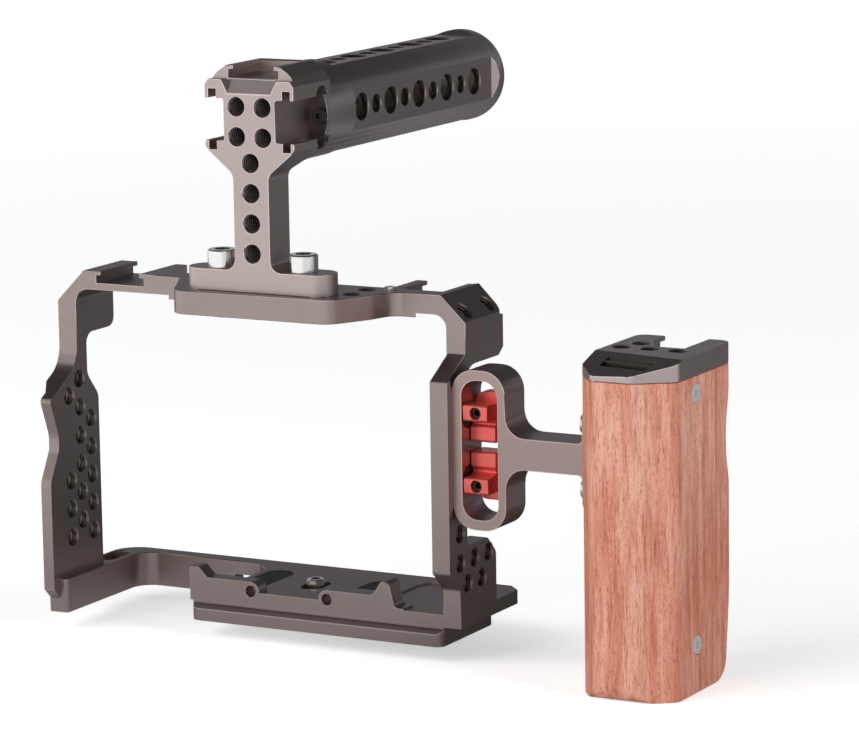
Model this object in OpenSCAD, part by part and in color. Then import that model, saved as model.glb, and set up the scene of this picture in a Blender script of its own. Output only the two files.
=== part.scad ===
// Camera cage with a top handle, a side bracket with two cable clamps and a wooden side grip.
// Millimetres. +X points to the side grip, +Y to the back of the camera, +Z up.
// The origin is on the axis of the camera screw, at the underside of the quick-release foot.

/* [Camera bay] */
// Inner width between the two side walls
bay_w = 145.3; // [138:0.1:156]
// Inner height from the base floor to the underside of the top bars
bay_h = 99.6; // [97:0.1:106]
// Distance from the camera screw to the inner face of the left wall
bay_left = 86.1; // [82:0.1:90]
// Thickness of the left wall
left_wall_t = 4.3; // [3.5:0.1:5.5]
// Thickness of the left shoulder above the wall
left_shoulder_t = 7.4; // [6.5:0.1:9]
// Thickness of the right wall
right_wall_t = 7.2; // [6:0.1:9]
// Thickness of the two top bars
bar_t = 6.7; // [6:0.1:8]
// Distance of the shoulders' front faces in front of the screw axis
shoulder_front = 13.1; // [12:0.1:14]
// Distance of the left shoulder's back face behind the screw axis
left_back = 11.2; // [10:0.1:13]
// Distance of the right shoulder's back face behind the screw axis
right_back = 14; // [13:0.1:16]

/* [Base] */
// Width of the quick-release foot, the common dovetail standard
foot_w = 38; // [37:0.1:39]
// Length of the foot
foot_len = 98.2; // [80:0.1:104]
// Distance from the screw axis to the foot's left end
foot_left = 39.2; // [30:0.1:42]
// Height of the foot below the base plate
foot_h = 7.1; // [6.5:0.1:9]
// Thickness of the base plate
plate_t = 4.9; // [4.5:0.1:7]
// Distance of the base plate's back edge behind the screw axis
plate_back = 27; // [25:0.1:32]
// Height of the front rim above the floor
rim_h = 3.6; // [3:0.1:5]
// Depth of the front rim
rim_d = 6; // [4:0.1:8]
// Depth of the rear run that joins the base to the left wall
run_d = 6.2; // [5:0.1:8]
// Width of one rubber pad
pad_w = 10.4; // [8:0.1:12]
// Thickness of the rubber pads
pad_t = 1.2; // [0.8:0.1:2]

/* [Threads and shoes] */
// Diameter of a quarter-inch accessory hole
quarter_d = 6.5; // [6:0.1:7]
// Diameter of a three-eighths accessory hole
three_eighths_d = 9.6; // [9:0.1:10.5]
// Spacing of the accessory holes
hole_pitch = 10; // [9:0.1:11]
// Width of a cold shoe's slot
shoe_slot_w = 19.2; // [18.6:0.1:20.5]
// Width of the gap between a cold shoe's lips
shoe_gap_w = 15.6; // [14:0.1:17]
// Height of a cold shoe's slot
shoe_slot_h = 2.7; // [2.2:0.1:3.2]
// Thickness of a cold shoe's lips
shoe_lip_t = 1.5; // [1.2:0.1:2]
// Thread diameter of the camera screw
camera_thread_d = 6.35; // [6:0.01:6.6]
// Radial clearance of a screw that turns in its hole
turn_clear = 0.08; // [0.05:0.01:0.1]

/* [Top handle] */
// Height from the top deck to the handle's axis
handle_rise = 57.4; // [52:0.1:66]
// Outer radius of the handle grip
handle_r = 16.4; // [15:0.1:18]
// Wall of the handle grip
handle_wall = 4.4; // [3.5:0.1:5.5]
// Length of the handle grip
handle_len = 131.5; // [110:0.1:150]
// Depth of the upright of the handle, front to back
handle_d = 13.5; // [12:0.1:16]
// Thickness of the handle's foot on the deck
handle_foot_t = 7.3; // [6:0.1:9]
// Distance between the two handle screws
handle_screw_gap = 31.2; // [28:0.1:34]
// Distance of the deck's front face in front of the screw axis
deck_front = 38; // [36:0.1:42]
// Thickness of the top deck
deck_t = 8.1; // [7:0.1:10]

/* [Side bracket] */
// Height of the loop
loop_h = 53.6; // [48:0.1:60]
// Width of the loop
loop_w = 19.6; // [18:0.1:23]
// Depth of the loop and of its arm, front to back
loop_d = 14.5; // [12:0.1:17]
// Width of the slot in the loop
slot_w = 13.2; // [12:0.1:15]
// Height of the slot in the loop
slot_h = 46.5; // [42:0.1:50]
// Height of the loop's centre above the base's underside
loop_z = 69.3; // [66:0.1:72]
// Height of the arm
arm_h = 10.6; // [9:0.1:14]
// Length of the arm between the loop and the grip
arm_len = 31.8; // [24:0.1:40]
// How far each cable clamp can slide away from the other
clamp_open = 3; // [2:0.1:4]
// How far each cable clamp can slide towards the other
clamp_close = 1.3; // [1:0.1:2]

/* [Side grip] */
// Width of the grip
grip_w = 33.6; // [30:0.1:40]
// Depth of the grip, front to back
grip_d = 50.9; // [46:0.1:56]
// Height of the wooden part
wood_h = 104.7; // [95:0.1:115]
// Height of the metal cap on the wood
cap_h = 6.8; // [6.5:0.1:9]

/* [Hidden] */
$fn = 48;
e = 0.01;

// The diameter of the hole that a screw goes through
function hole_d(d) = d + 2 * turn_clear;

bronze = "#8a7b72";
dark_bronze = "#5d524c";
steel = "#c9c9cc";
black = "#26262a";
red = "#d8473c";
wood = "#c9734c";

// Key places, worked out from the sizes above
x_l = -bay_left;
x_r = x_l + bay_w;
out_l = x_l - left_wall_t;
out_sh = x_l - left_shoulder_t;
out_r = x_r + right_wall_t;
y_foot = foot_w / 2;
z_floor = foot_h + plate_t;
z_under = z_floor + bay_h;
z_top = z_under + bar_t;
z_deck = z_top - deck_t;
rim_z = z_floor + rim_h;
post_front = 26.1;
post_back = 13.4;
run_front = plate_back - run_d;
plate_left = 39;

// ---------- helpers ----------

// Extrude a Y-Z outline from x0 to x1
module along_x(x0, x1) {
    translate([x0, 0, 0]) rotate([90, 0, 90]) linear_extrude(x1 - x0) children();
}

// Extrude an X-Z outline from y0 to y1
module along_y(y0, y1) {
    translate([0, y1, 0]) rotate([90, 0, 0]) linear_extrude(y1 - y0) children();
}

// Extrude an X-Y outline from z0 to z1
module along_z(z0, z1) {
    translate([0, 0, z0]) linear_extrude(z1 - z0) children();
}

function unit(v) = v / norm(v);
function xy(p) = [p[0], p[1]];

// The points of one rounded corner of an outline, or the corner itself where its radius is 0
function corner(a, b, c, r, n) =
    r == 0 ? [b] :
    let (
        u = unit(a - b),
        v = unit(c - b),
        half = acos(u * v) / 2,
        centre = b + unit(u + v) * r / sin(half),
        p = b + u * r / tan(half) - centre,
        q = b + v * r / tan(half) - centre,
        a0 = atan2(p[1], p[0]),
        turn = atan2(p[0] * q[1] - p[1] * q[0], p * q)
    )
    [for (i = [0 : n]) centre + r * [cos(a0 + turn * i / n), sin(a0 + turn * i / n)]];

// An outline from corners given as [x, y, radius]
function rounded(points, n = 6) =
    let (m = len(points))
    [for (i = [0 : m - 1])
        each corner(xy(points[(i + m - 1) % m]), xy(points[i]), xy(points[(i + 1) % m]),
            points[i][2], n)];

module shape(points, n = 6) {
    polygon(rounded(points, n));
}

module box(x0, x1, y0, y1, z0, z1) {
    translate([x0, y0, z0]) cube([x1 - x0, y1 - y0, z1 - z0]);
}

module bore_x(x0, x1, y, z, d) {
    translate([x0, y, z]) rotate([0, 90, 0]) cylinder(h = x1 - x0, d = d);
}

module bore_y(x, y0, y1, z, d) {
    translate([x, y1, z]) rotate([90, 0, 0]) cylinder(h = y1 - y0, d = d);
}

module bore_z(x, y, z0, z1, d) {
    translate([x, y, z0]) cylinder(h = z1 - z0, d = d);
}

// A long shape with round ends, along Y
module stadium(w, l) {
    square([w, l - w], center = true);
    for (end = [-1, 1]) {
        translate([0, end * (l - w) / 2]) circle(d = w);
    }
}

// A slot with round ends, along Y, cut from z0 to z1
module round_slot(x, y, w, l, z0, z1) {
    along_z(z0, z1) translate([x, y]) stadium(w, l);
}

// The cut of a cold shoe that runs along Y, with its lips' top at z
module shoe_cut(x, y0, y1, z) {
    box(x - shoe_gap_w / 2, x + shoe_gap_w / 2, y0, y1, z - shoe_lip_t - e, z + e);
    box(x - shoe_slot_w / 2, x + shoe_slot_w / 2, y0, y1,
        z - shoe_lip_t - shoe_slot_h, z - shoe_lip_t);
}

// A hexagon socket, pointing down from the origin
module hex_socket(across, depth) {
    translate([0, 0, -depth]) cylinder(h = depth + e, d = across / cos(30), $fn = 6);
}

// ---------- the cage frame ----------

foot_waist = 1.8;
foot_side = 4.2;
foot_end_r = 3;

// The dovetail foot under the base plate
module foot() {
    intersection() {
        along_x(-foot_left, foot_len - foot_left) polygon([
            [-y_foot, 0], [y_foot, 0], [y_foot, foot_side],
            [y_foot - foot_waist, foot_side + foot_waist], [y_foot - foot_waist, foot_h + e],
            [foot_waist - y_foot, foot_h + e], [foot_waist - y_foot, foot_side + foot_waist],
            [-y_foot, foot_side]]);
        along_z(0, foot_h + e) shape([
            [-foot_left, -y_foot, foot_end_r], [foot_len - foot_left, -y_foot, foot_end_r],
            [foot_len - foot_left, y_foot, foot_end_r], [-foot_left, y_foot, foot_end_r]]);
    }
}

run_end = plate_left + 6;
plate_chamfer = 4.7;
notch_x = 28;
notch_back = 13;

// The base plate and the rear run, with the cut-out behind the left lip
module base_plate() {
    along_z(foot_h, z_floor) shape([
        [-plate_left, -y_foot, 0], [out_r, -y_foot, 1],
        [out_r, plate_back - plate_chamfer, 0], [out_r - plate_chamfer, plate_back, 0],
        [-run_end - 1, plate_back, 0], [-run_end - 1, run_front, 0],
        [-notch_x - 6, run_front, 2], [-notch_x, notch_back, 3],
        [-notch_x, rim_d - y_foot, 1.5], [-plate_left, rim_d - y_foot, 0]]);
}

rim_boss_r = 3.3;
rim_hole_d = 4;
rim_hole_depth = 5;
rim_hole_x = 14.9;
rim_hole_z = rim_z - rim_boss_r;
lip_top = z_floor + 7;
hook_top = z_floor + 8.6;

// The rim along the front edge: a lip on the left, two bosses, a hook on the right
module front_rim() {
    back = rim_d - y_foot;
    along_y(-y_foot, back) polygon([
        [-plate_left, z_floor - 1], [-plate_left, lip_top], [-plate_left + 3.6, lip_top],
        [-plate_left + 6.9, rim_z], [-rim_hole_x, rim_z], [-rim_hole_x, z_floor - 1]]);
    along_y(-y_foot, back + 1) shape([
        [rim_hole_x, z_floor - 1, 0], [rim_hole_x, rim_z, 0], [32.6, rim_z, 2],
        [36, hook_top, 1.6], [39, hook_top, 1.8], [41, z_floor + 0.2, 2],
        [44.5, z_floor - 0.4, 0], [44.5, z_floor - 1, 0]]);
    for (side = [-1, 1]) {
        bore_y(side * rim_hole_x, -y_foot, back, rim_hole_z, 2 * rim_boss_r);
    }
}

rail_inner = x_l + 3.1;
rail_front = 28.5;

// The lower left rail along Y and the rear run, one bent bar
module left_rail() {
    along_z(0, z_floor) shape([
        [-run_end, plate_back, 0], [-run_end, run_front, 0], [rail_inner, run_front, 7],
        [rail_inner, -rail_front, 1.5], [out_l, -rail_front, 0], [out_l, -6, 4],
        [out_sh, 3, 4], [out_sh, plate_back, 10]], 8);
}

wall_front = 32;
wall_scoop = 26.2;
wall_bottom = 5;
wall_back = 0.1;
wall_neck = 6.8;
wall_step_z = z_under - 34.6;
tab_z = z_under - 16.6;
scoop_z = [for (d = [65.3, 54.6, 49.6, 36.5]) z_under - d];
scoop_r = 6;

// Outline of the left wall, seen along X
module left_wall_outline() {
    shape([
        [-rail_front, wall_bottom, 0], [-wall_front, wall_bottom + 3.5, 0],
        [-wall_front, scoop_z[0], scoop_r], [-wall_scoop, scoop_z[1], scoop_r],
        [-wall_scoop, scoop_z[2], scoop_r + 2], [-wall_front + 0.9, scoop_z[3], 1.8],
        [-shoulder_front, z_under - 26.6, 11], [-shoulder_front, z_under - 6, 0],
        [left_back, z_under - 6, 0], [left_back, tab_z, 3.6],
        [-wall_neck, tab_z, 3.8], [-wall_neck, z_under - 31.1, 6],
        [-wall_back, z_under - 39.1, 5], [-wall_back, wall_bottom, 0]]);
}

// The left wall, thicker above its peak
module left_wall() {
    along_x(out_l, x_l) left_wall_outline();
    intersection() {
        along_x(out_sh, out_l + e) left_wall_outline();
        along_y(-wall_front, left_back + 1) polygon([
            [out_sh, wall_step_z + 3], [out_l, wall_step_z], [out_l + 1, wall_step_z],
            [out_l + 1, z_under], [out_sh, z_under]]);
    }
}

left_rail_right = x_l + 28.7;
deck_left = -46.3;
shoe_x_left = x_l + 18.3;

// The left shoulder and the bar with the left cold shoe
module left_shoulder() {
    chamfer = bar_t + 4.4;
    intersection() {
        along_y(-shoulder_front, left_back) shape([
            [out_sh, tab_z + 5, 0], [out_sh, z_top - chamfer, 1], [out_sh + chamfer, z_top, 1],
            [deck_left + 2, z_top, 0], [deck_left + 2, z_under, 0], [x_l, z_under, 5.2],
            [x_l, tab_z + 5, 0]]);
        along_z(tab_z, z_top) polygon([
            [out_sh, -shoulder_front], [deck_left + 2, -shoulder_front],
            [deck_left + 2, -5], [deck_left, -4.1], [left_rail_right + 2, left_back],
            [out_sh, left_back]]);
    }
}

deck_rear = 6;

// The deck that carries the handle, with its flared sides
module top_deck() {
    along_z(z_deck, z_top) shape([
        [deck_left - 2, -shoulder_front, 0], [deck_left + 3, -shoulder_front, 5],
        [-31, -deck_front, 6.5], [28.4, -deck_front, 6.5], [36.9, -22.6, 12],
        [39.3, -shoulder_front, 5], [48, -shoulder_front, 0], [44, -deck_rear, 3],
        [deck_left - 2, -deck_rear, 0]]);
}

shoe_x_right = x_r - 12.7;
right_bar_left = shoe_x_right - shoe_slot_w / 2 - 2.2;
right_shoe_front = -6;
right_bar_back = 12.5;

// The right shoulder and the bar with the right cold shoe
module right_shoulder() {
    cut = 8.8;
    intersection() {
        along_y(-shoulder_front, right_back) shape([
            [right_bar_left, z_top, 0], [out_r - cut, z_top, 1], [out_r, z_top - cut, 1],
            [out_r, tab_z + 2, 0], [x_r, tab_z + 2, 0], [x_r, z_under, 4.6],
            [right_bar_left, z_under, 0]]);
        along_z(tab_z, z_top) shape([
            [right_bar_left, -shoulder_front, 0], [out_r, -shoulder_front, 0],
            [out_r, right_back, 3], [x_r - 2, right_back, 1], [x_r - 3.5, right_bar_back, 0],
            [right_bar_left, right_bar_back, 0]]);
    }
}

low_wall_back = 7;
low_wall_top = z_floor + 22.7;

// The right upright, its foot on the base and the low wall with the hole pattern
module right_post() {
    along_x(post_x0, out_r) shape([
        [-y_foot, foot_h, 0], [-y_foot, z_floor + 8.5, 1.5], [-post_front, z_floor + 15, 1.5],
        [-post_front, z_under - 20, 1], [-shoulder_front, z_under - 12.6, 0],
        [-shoulder_front, z_under - 6, 0], [right_back, z_under - 3, 0],
        [right_back, tab_z + 2.5, 0], [right_back - 3.4, tab_z, 0],
        [-post_back, tab_z, 7], [-post_back, low_wall_top, 1.5],
        [low_wall_back - 6, low_wall_top, 3], [low_wall_back, low_wall_top - 6, 3],
        [low_wall_back, foot_h, 0]]);
}

// Places of the accessory holes in the left wall, as [y, z]
column_pitch = 6.75;
left_holes = concat(
    [for (i = [0 : 4]) [-5.3, z_floor + 12.8 + i * hole_pitch]],
    [for (i = [0 : 5]) [-5.3 - column_pitch, z_floor + 17.8 + i * hole_pitch]],
    [for (i = [0, 1, 2, 5]) [-5.3 - 2 * column_pitch, z_floor + 12.8 + i * hole_pitch]]);

// Places of the accessory holes in the right wall, as [y, z]
right_hole_y = -18.5;
right_holes = concat(
    [for (i = [0 : 2]) [right_hole_y + i * hole_pitch, z_floor + 17.5]],
    [for (i = [0, 1]) [right_hole_y + hole_pitch / 2 + i * hole_pitch, z_floor + 9.7]],
    [[right_hole_y, z_floor + 17.5 + hole_pitch]]);

strap_w = 6.7;
strap_l = 15.5;
strap_y = 10.8;
screw_slot_w = 8.2;
screw_slot_l = 13.4;
screw_neck_w = camera_thread_d + 0.5;
screw_neck_z = 5;
screw_neck_t = 2.4;
screw_head_d = 11.4;
screw_head_w = screw_head_d + 0.5;
pocket_x = 32;
pocket_depth = 0.5;
quarter_socket_x = [-28, 48];
three_eighths_socket_x = 22;
post_x0 = x_r + 0.4;
pad_x = 20.4;
pad_back = 14.9;
deck_hole_x = 29.2;
deck_hole_y = -12.3;
stop_screw_d = 2.5;
stop_screw = [36.4, -9.5];
pin_hole = [26.8, -28.7];
pin_hole_d = 2.6;
chamfer_hole = [out_r - 3.2, z_top - 5.6];
chamfer_hole_y = [-7.3, 9.1];
chamfer_hole_in = 7;
chamfer_hole_out = 5;
deck_pin_depth = 4;

// Outline of a rubber pad: straight at the rim, round at the back
module pad_shape() {
    front = rim_d - y_foot;
    round_y = pad_back - pad_w / 2;
    translate([-pad_w / 2, front]) square([pad_w, round_y - front]);
    translate([0, round_y]) circle(d = pad_w);
}

// Everything that is cut out of the base
module base_cuts() {
    round_slot(0, 0, screw_slot_w, screw_slot_l, screw_neck_z + screw_neck_t, z_floor + 1);
    round_slot(0, 0, screw_neck_w, screw_slot_l - 1.2, 1, z_floor);
    round_slot(0, 0, screw_head_w, screw_slot_l + 5, -1, screw_neck_z);
    for (side = [-1, 1]) {
        along_z(z_floor - pad_t, z_floor + 1) translate([side * pad_x, 0]) pad_shape();
        bore_y(side * rim_hole_x, -y_foot - 1, rim_hole_depth - y_foot, rim_hole_z, rim_hole_d);
    }
    along_z(z_floor - pocket_depth, z_floor + 1) shape([
        [pocket_x, rim_d + 1 - y_foot, 0], [post_x0 - e, rim_d + 1 - y_foot, 0],
        [post_x0 - e, 20, 5], [pocket_x, 20, 5]]);
    box(44.5, post_x0 - e, -y_foot - 1, rim_d + 2 - y_foot,
        z_floor - pocket_depth, z_floor + 1);
    for (x = quarter_socket_x) {
        bore_z(x, 0, -1, foot_h + 1, quarter_d);
    }
    bore_z(three_eighths_socket_x, 0, -1, z_floor - pad_t - 1, three_eighths_d);
    round_slot(out_sh + 1.5 + strap_w / 2, strap_y, strap_w, strap_l, -1, z_floor + 1);
}

// Everything that is cut out of the walls, the bars and the deck
module upper_cuts() {
    for (p = left_holes) {
        bore_x(out_l - 4, x_l + 1, p[0], p[1], quarter_d);
    }
    for (p = right_holes) {
        bore_x(x_r - 1, out_r + 1, p[0], p[1], quarter_d);
    }
    for (s = bracket_screw_z) {
        bore_x(x_r - 1, out_r + 1, right_hole_y, s, hole_d(bracket_thread_d));
    }
    shoe_cut(shoe_x_left, -shoulder_front - 1, left_back + 1, z_top);
    shoe_cut(shoe_x_right, right_shoe_front, right_back + 1, z_top);
    for (i = [0, 1]) {
        bore_z(deck_hole_x, deck_hole_y - i * (hole_pitch + 0.5), z_deck - 1, z_top + 1, quarter_d);
        translate([chamfer_hole[0], chamfer_hole_y[i], chamfer_hole[1]]) rotate([0, 45, 0])
            translate([0, 0, -chamfer_hole_in])
                cylinder(h = chamfer_hole_in + chamfer_hole_out, d = quarter_d);
    }
    bore_z(stop_screw[0], stop_screw[1], z_top - deck_pin_depth, z_top + 1,
        hole_d(stop_screw_d));
    bore_z(pin_hole[0], pin_hole[1], z_top - deck_pin_depth, z_top + 1, pin_hole_d);
    for (side = [-1, 1]) {
        bore_z(handle_x + side * handle_screw_gap / 2, handle_y, z_deck - 1, z_top + 1,
            hole_d(handle_thread_d));
    }
}

module cage_frame() {
    color(bronze) difference() {
        union() {
            foot();
            base_plate();
            front_rim();
            left_rail();
            left_wall();
            left_shoulder();
            top_deck();
            right_shoulder();
            right_post();
        }
        base_cuts();
        upper_cuts();
    }
}

module base_pads() {
    color(black) for (side = [-1, 1]) {
        along_z(z_floor - pad_t, z_floor) translate([side * pad_x, 0]) pad_shape();
    }
}

camera_screw_top = z_floor + 2.3;
clip_t = 0.8;
clip_z = screw_neck_z + screw_neck_t + 0.2;
clip_groove_d = camera_thread_d - 1.2;

// The captive screw that holds the camera
module camera_screw() {
    head_z = 0.8;
    color(steel) difference() {
        union() {
            bore_z(0, 0, head_z, screw_neck_z - 0.2, screw_head_d);
            bore_z(0, 0, head_z, camera_screw_top - 0.6, camera_thread_d);
            translate([0, 0, camera_screw_top - 0.6])
                cylinder(h = 0.6, d1 = camera_thread_d, d2 = camera_thread_d - 1.2);
        }
        difference() {
            bore_z(0, 0, clip_z - 0.1, clip_z + clip_t + 0.1, camera_thread_d + 1);
            bore_z(0, 0, clip_z - 1, clip_z + clip_t + 1, clip_groove_d);
        }
        translate([0, 0, camera_screw_top]) hex_socket(3.2, 3);
        translate([0, 0, head_z]) rotate([180, 0, 0]) hex_socket(4.8, 2.4);
    }
}

// The snap ring in the screw's groove, open on one side
module camera_screw_clip() {
    clip_d = screw_slot_w - 0.4;
    color(black) difference() {
        bore_z(0, 0, clip_z, clip_z + clip_t, clip_d);
        bore_z(0, 0, clip_z - 1, clip_z + clip_t + 1, hole_d(clip_groove_d));
        box(-1.4, 1.4, 0, clip_d, clip_z - 1, clip_z + clip_t + 1);
    }
}

// The small screw that stops an accessory at the end of the right cold shoe
module deck_stop_screw() {
    color(steel) translate([stop_screw[0], stop_screw[1], z_top]) difference() {
        union() {
            translate([0, 0, -3.5]) cylinder(h = 3.6, d = stop_screw_d);
            cylinder(h = 1.1, d = 3.8);
        }
        translate([0, 0, 1.1]) hex_socket(1.3, 0.8);
    }
}

// ---------- the top handle ----------

handle_x = -2.1;
handle_y = -27.25;
handle_front = handle_y - handle_d / 2;
handle_back = handle_y + handle_d / 2;
handle_z = z_top + handle_rise;
handle_foot_l = 55.4;
handle_thread_d = 6;
handle_seat_z = z_top + handle_foot_t;
stem_w = 13.6;
head_back = -9;
flange_front = -11.6;
head_slot_w = 7.6;
head_slot_h = 21.2;
joint_seat_y = flange_front + 0.4;
lip_half = 17;
head_half = 9.9;
rail_half = 10;
head_top = handle_z + 18.2;
lip_low_z = handle_z - 10.9;
lip_high_z = handle_z + 7.3;
spigot_l = 9;
groove_w = 2.9;
groove_h = 3.1;
block_top = handle_z + 13.7;
block_d = 3;
notch_z = handle_z + 9;
notch_half = 8.2;
notch_flare = 5;
notch_lean = 32.5;
notch_l = 7;

// Outline of the upright and its head, seen along Y, about the handle's centre
module upright_outline() {
    half = stem_w / 2;
    foot_top = z_top + handle_foot_t;
    right = [
        [half + 4, foot_top - 2, 0], [half + 4, foot_top, 0], [half, foot_top, 4], [half, lip_low_z - 7, 4],
        [lip_half - 1, lip_low_z + 0.6, 1], [lip_half, lip_low_z + 2, 0.8],
        [lip_half, lip_low_z + 4.2, 0.4], [head_half, lip_low_z + 4.2, 0],
        [head_half, lip_high_z, 1], [lip_half, lip_high_z, 0.4],
        [lip_half, lip_high_z + 4.6, 0.6], [rail_half + 4, head_top - 2.4, 9],
        [rail_half, head_top, 0.5]];
    left = [for (i = [len(right) - 1 : -1 : 0]) [-right[i][0], right[i][1], right[i][2]]];
    translate([handle_x, 0]) shape(concat(right, left));
}

module head_cuts() {
    shoe_cut(handle_x, handle_front - 1, flange_front - 0.8, head_top);
    // the top rails stand back behind the blocks at their foot
    along_x(handle_x - lip_half - 1, handle_x + lip_half + 1) polygon([
        [handle_front - 1, block_top], [handle_front + block_d, block_top],
        [handle_front + block_d + 0.6, head_top + 1], [handle_front - 1, head_top + 1]]);
    // the slanted way into the shoe, which flares to the front
    translate([handle_x, handle_front, notch_z]) rotate([-notch_lean, 0, 0])
        translate([0, 0, -1]) linear_extrude(notch_l + 1) polygon([
            [-notch_half, 0], [notch_half, 0],
            [notch_half + notch_flare, -notch_flare], [-notch_half - notch_flare, -notch_flare]]);
    for (side = [-1, 1]) {
        x = handle_x + side * (lip_half - 1.4 - groove_w / 2);
        box(x - groove_w / 2, x + groove_w / 2, handle_front - 1, flange_front,
            lip_low_z + 4.2 - groove_h, lip_low_z + 5);
        box(x - groove_w / 2, x + groove_w / 2, handle_front - 1, flange_front,
            lip_high_z - 1, lip_high_z + groove_h);
        // the upright slot at the root of the lips, where a joint screw's head sits
        translate([handle_x + side * (head_half + lip_half + 1) / 2, joint_seat_y - head_slot_w / 2,
            handle_z]) rotate([90, 0, 90])
            linear_extrude(lip_half + 1 - head_half, center = true) stadium(head_slot_w, head_slot_h);
    }
}

upright_hole_z = [for (i = [0 : 3]) z_top + 13.2 + i * (hole_pitch + 0.1)];

// The upright: foot, stem and head, with a flange for the grip
module handle_upright() {
    color(bronze) difference() {
        union() {
            along_z(z_top, z_top + handle_foot_t) translate([handle_x, handle_y])
                rotate([0, 0, 90]) stadium(handle_d, handle_foot_l);
            intersection() {
                along_y(handle_front, head_back) upright_outline();
                union() {
                    box(handle_x - handle_foot_l / 2, handle_x + handle_foot_l / 2,
                        handle_front, handle_back, z_top, lip_low_z + 1);
                    along_x(handle_x - lip_half - 1, handle_x + lip_half + 1) polygon([
                        [handle_front, lip_low_z - 6], [handle_back, lip_low_z - 6],
                        [head_back, lip_low_z + 3], [head_back, head_top + 1],
                        [handle_front, head_top + 1]]);
                }
            }
            intersection() {
                bore_y(handle_x, flange_front, head_back, handle_z, 2 * (handle_r + 0.4));
                box(handle_x - lip_half, handle_x + lip_half, flange_front, head_back,
                    handle_z - handle_r - 1, handle_z + handle_r + 1);
            }
            bore_y(handle_x, head_back - 1, head_back + spigot_l, handle_z,
                2 * (handle_r - handle_wall - turn_clear));
        }
        head_cuts();
        for (z = upright_hole_z) {
            bore_y(handle_x, handle_front - 1, handle_back + 1, z, quarter_d);
        }
        for (sx = [-0.5, 0.5], sz = [-0.5, 0.5]) {
            bore_y(handle_x + sx * hole_pitch, handle_front - 1, handle_front + 11,
                handle_z + sz * hole_pitch - 0.3, quarter_d);
        }
        for (side = [-1, 1]) {
            x = handle_x + side * handle_screw_gap / 2;
            bore_z(x, handle_y, z_top - 1, handle_seat_z + 1, hole_d(handle_thread_d));
            bore_y(handle_x + side * joint_screw_r, joint_seat_y - 1, head_back + 1,
                handle_z, hole_d(joint_screw_d));
        }
    }
}

handle_head_d = 10;
handle_head_h = 6;

// One of the two socket head screws that hold the handle on the deck
module handle_screw(side) {
    tip = z_deck - 1.6;
    color(steel) translate([handle_x + side * handle_screw_gap / 2, handle_y, 0])
        difference() {
            union() {
                bore_z(0, 0, tip, handle_seat_z + 1, handle_thread_d);
                bore_z(0, 0, handle_seat_z, handle_seat_z + handle_head_h - 0.5, handle_head_d);
                translate([0, 0, handle_seat_z + handle_head_h - 0.5])
                    cylinder(h = 0.5, d1 = handle_head_d, d2 = handle_head_d - 1);
            }
            translate([0, 0, handle_seat_z + handle_head_h]) hex_socket(5, 3.2);
        }
}

module handle_screw_left() {
    handle_screw(-1);
}

module handle_screw_right() {
    handle_screw(1);
}

flat_dist = handle_r - 1.8;
flat_start = head_back + 18.3;
flat_end = head_back + handle_len - 11.3;
flat_ramp = 3;
row_start = head_back + 25.6;
row_pitch = 20.4;
row_count = floor((handle_len - 40) / row_pitch) + 1;
grip_end_r = 6;
joint_screw_r = handle_r - handle_wall / 2;
joint_screw_d = 3;
joint_screw_l = 20;
joint_head_d = 5.4;
joint_head_h = 1.6;

// A row of large and small holes right through the grip, seen along the turned Y axis
module handle_hole_row() {
    for (i = [0 : row_count - 1]) {
        y = row_start + i * row_pitch;
        translate([0, y, 0]) rotate([0, 90, 0])
            cylinder(h = 3 * handle_r, d = three_eighths_d, center = true);
        if (i < row_count - 1) {
            translate([0, y + row_pitch / 2, 0]) rotate([0, 90, 0])
                cylinder(h = 3 * handle_r, d = quarter_d, center = true);
        }
    }
}

// The tubular grip, closed and rounded at its far end
module handle_grip() {
    end = head_back + handle_len;
    r = grip_end_r;
    color(dark_bronze) translate([handle_x, 0, handle_z]) difference() {
        rotate([-90, 0, 0]) rotate_extrude($fn = 96) shape([
            [0, end, 0], [handle_r, end, r], [handle_r, head_back, 0.6],
            [handle_r - handle_wall, head_back, 0], [handle_r - handle_wall, end - r - 4, 3],
            [0, end - r - 4, 0]], 8);
        for (turn = [0, 90, 180, 270]) {
            rotate([0, turn, 0]) along_z(-handle_r, handle_r) polygon([
                [flat_dist, flat_start], [handle_r + 1.8, flat_start],
                [handle_r + 1.8, flat_end + 2 * flat_ramp], [flat_dist, flat_end]]);
        }
        handle_hole_row();
        rotate([0, 90, 0]) handle_hole_row();
        for (side = [-1, 1]) {
            bore_y(side * joint_screw_r, head_back - 1, joint_seat_y + joint_screw_l + 1, 0,
                hole_d(joint_screw_d));
        }
    }
}

// The two screws that hold the grip's end ring to the flange
module handle_joint_screws() {
    color(black) for (side = [-1, 1]) {
        translate([handle_x + side * joint_screw_r, 0, handle_z]) difference() {
            union() {
                bore_y(0, joint_seat_y - e, joint_seat_y + joint_screw_l, 0, joint_screw_d);
                bore_y(0, joint_seat_y - joint_head_h, joint_seat_y, 0, joint_head_d);
            }
            translate([0, joint_seat_y - joint_head_h, 0]) rotate([90, 0, 0])
                hex_socket(2, joint_head_h - 0.5);
        }
    }
}

// ---------- the side bracket and the cable clamps ----------

loop_x = out_r;
loop_front = -23.4;
loop_back = loop_front + loop_d;
slot_x0 = loop_x + 3.5;
slot_x1 = slot_x0 + slot_w;
loop_x1 = loop_x + loop_w;
arm_x1 = loop_x1 + arm_len;
arm_pad_t = 4;
arm_pad_h = 32;
arm_pad_r = 1.5;
bracket_screw_z = [loop_z - hole_pitch, loop_z + hole_pitch];
bracket_thread_d = 4;
bracket_head_d = 7.6;
bracket_head_h = 2;

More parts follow.
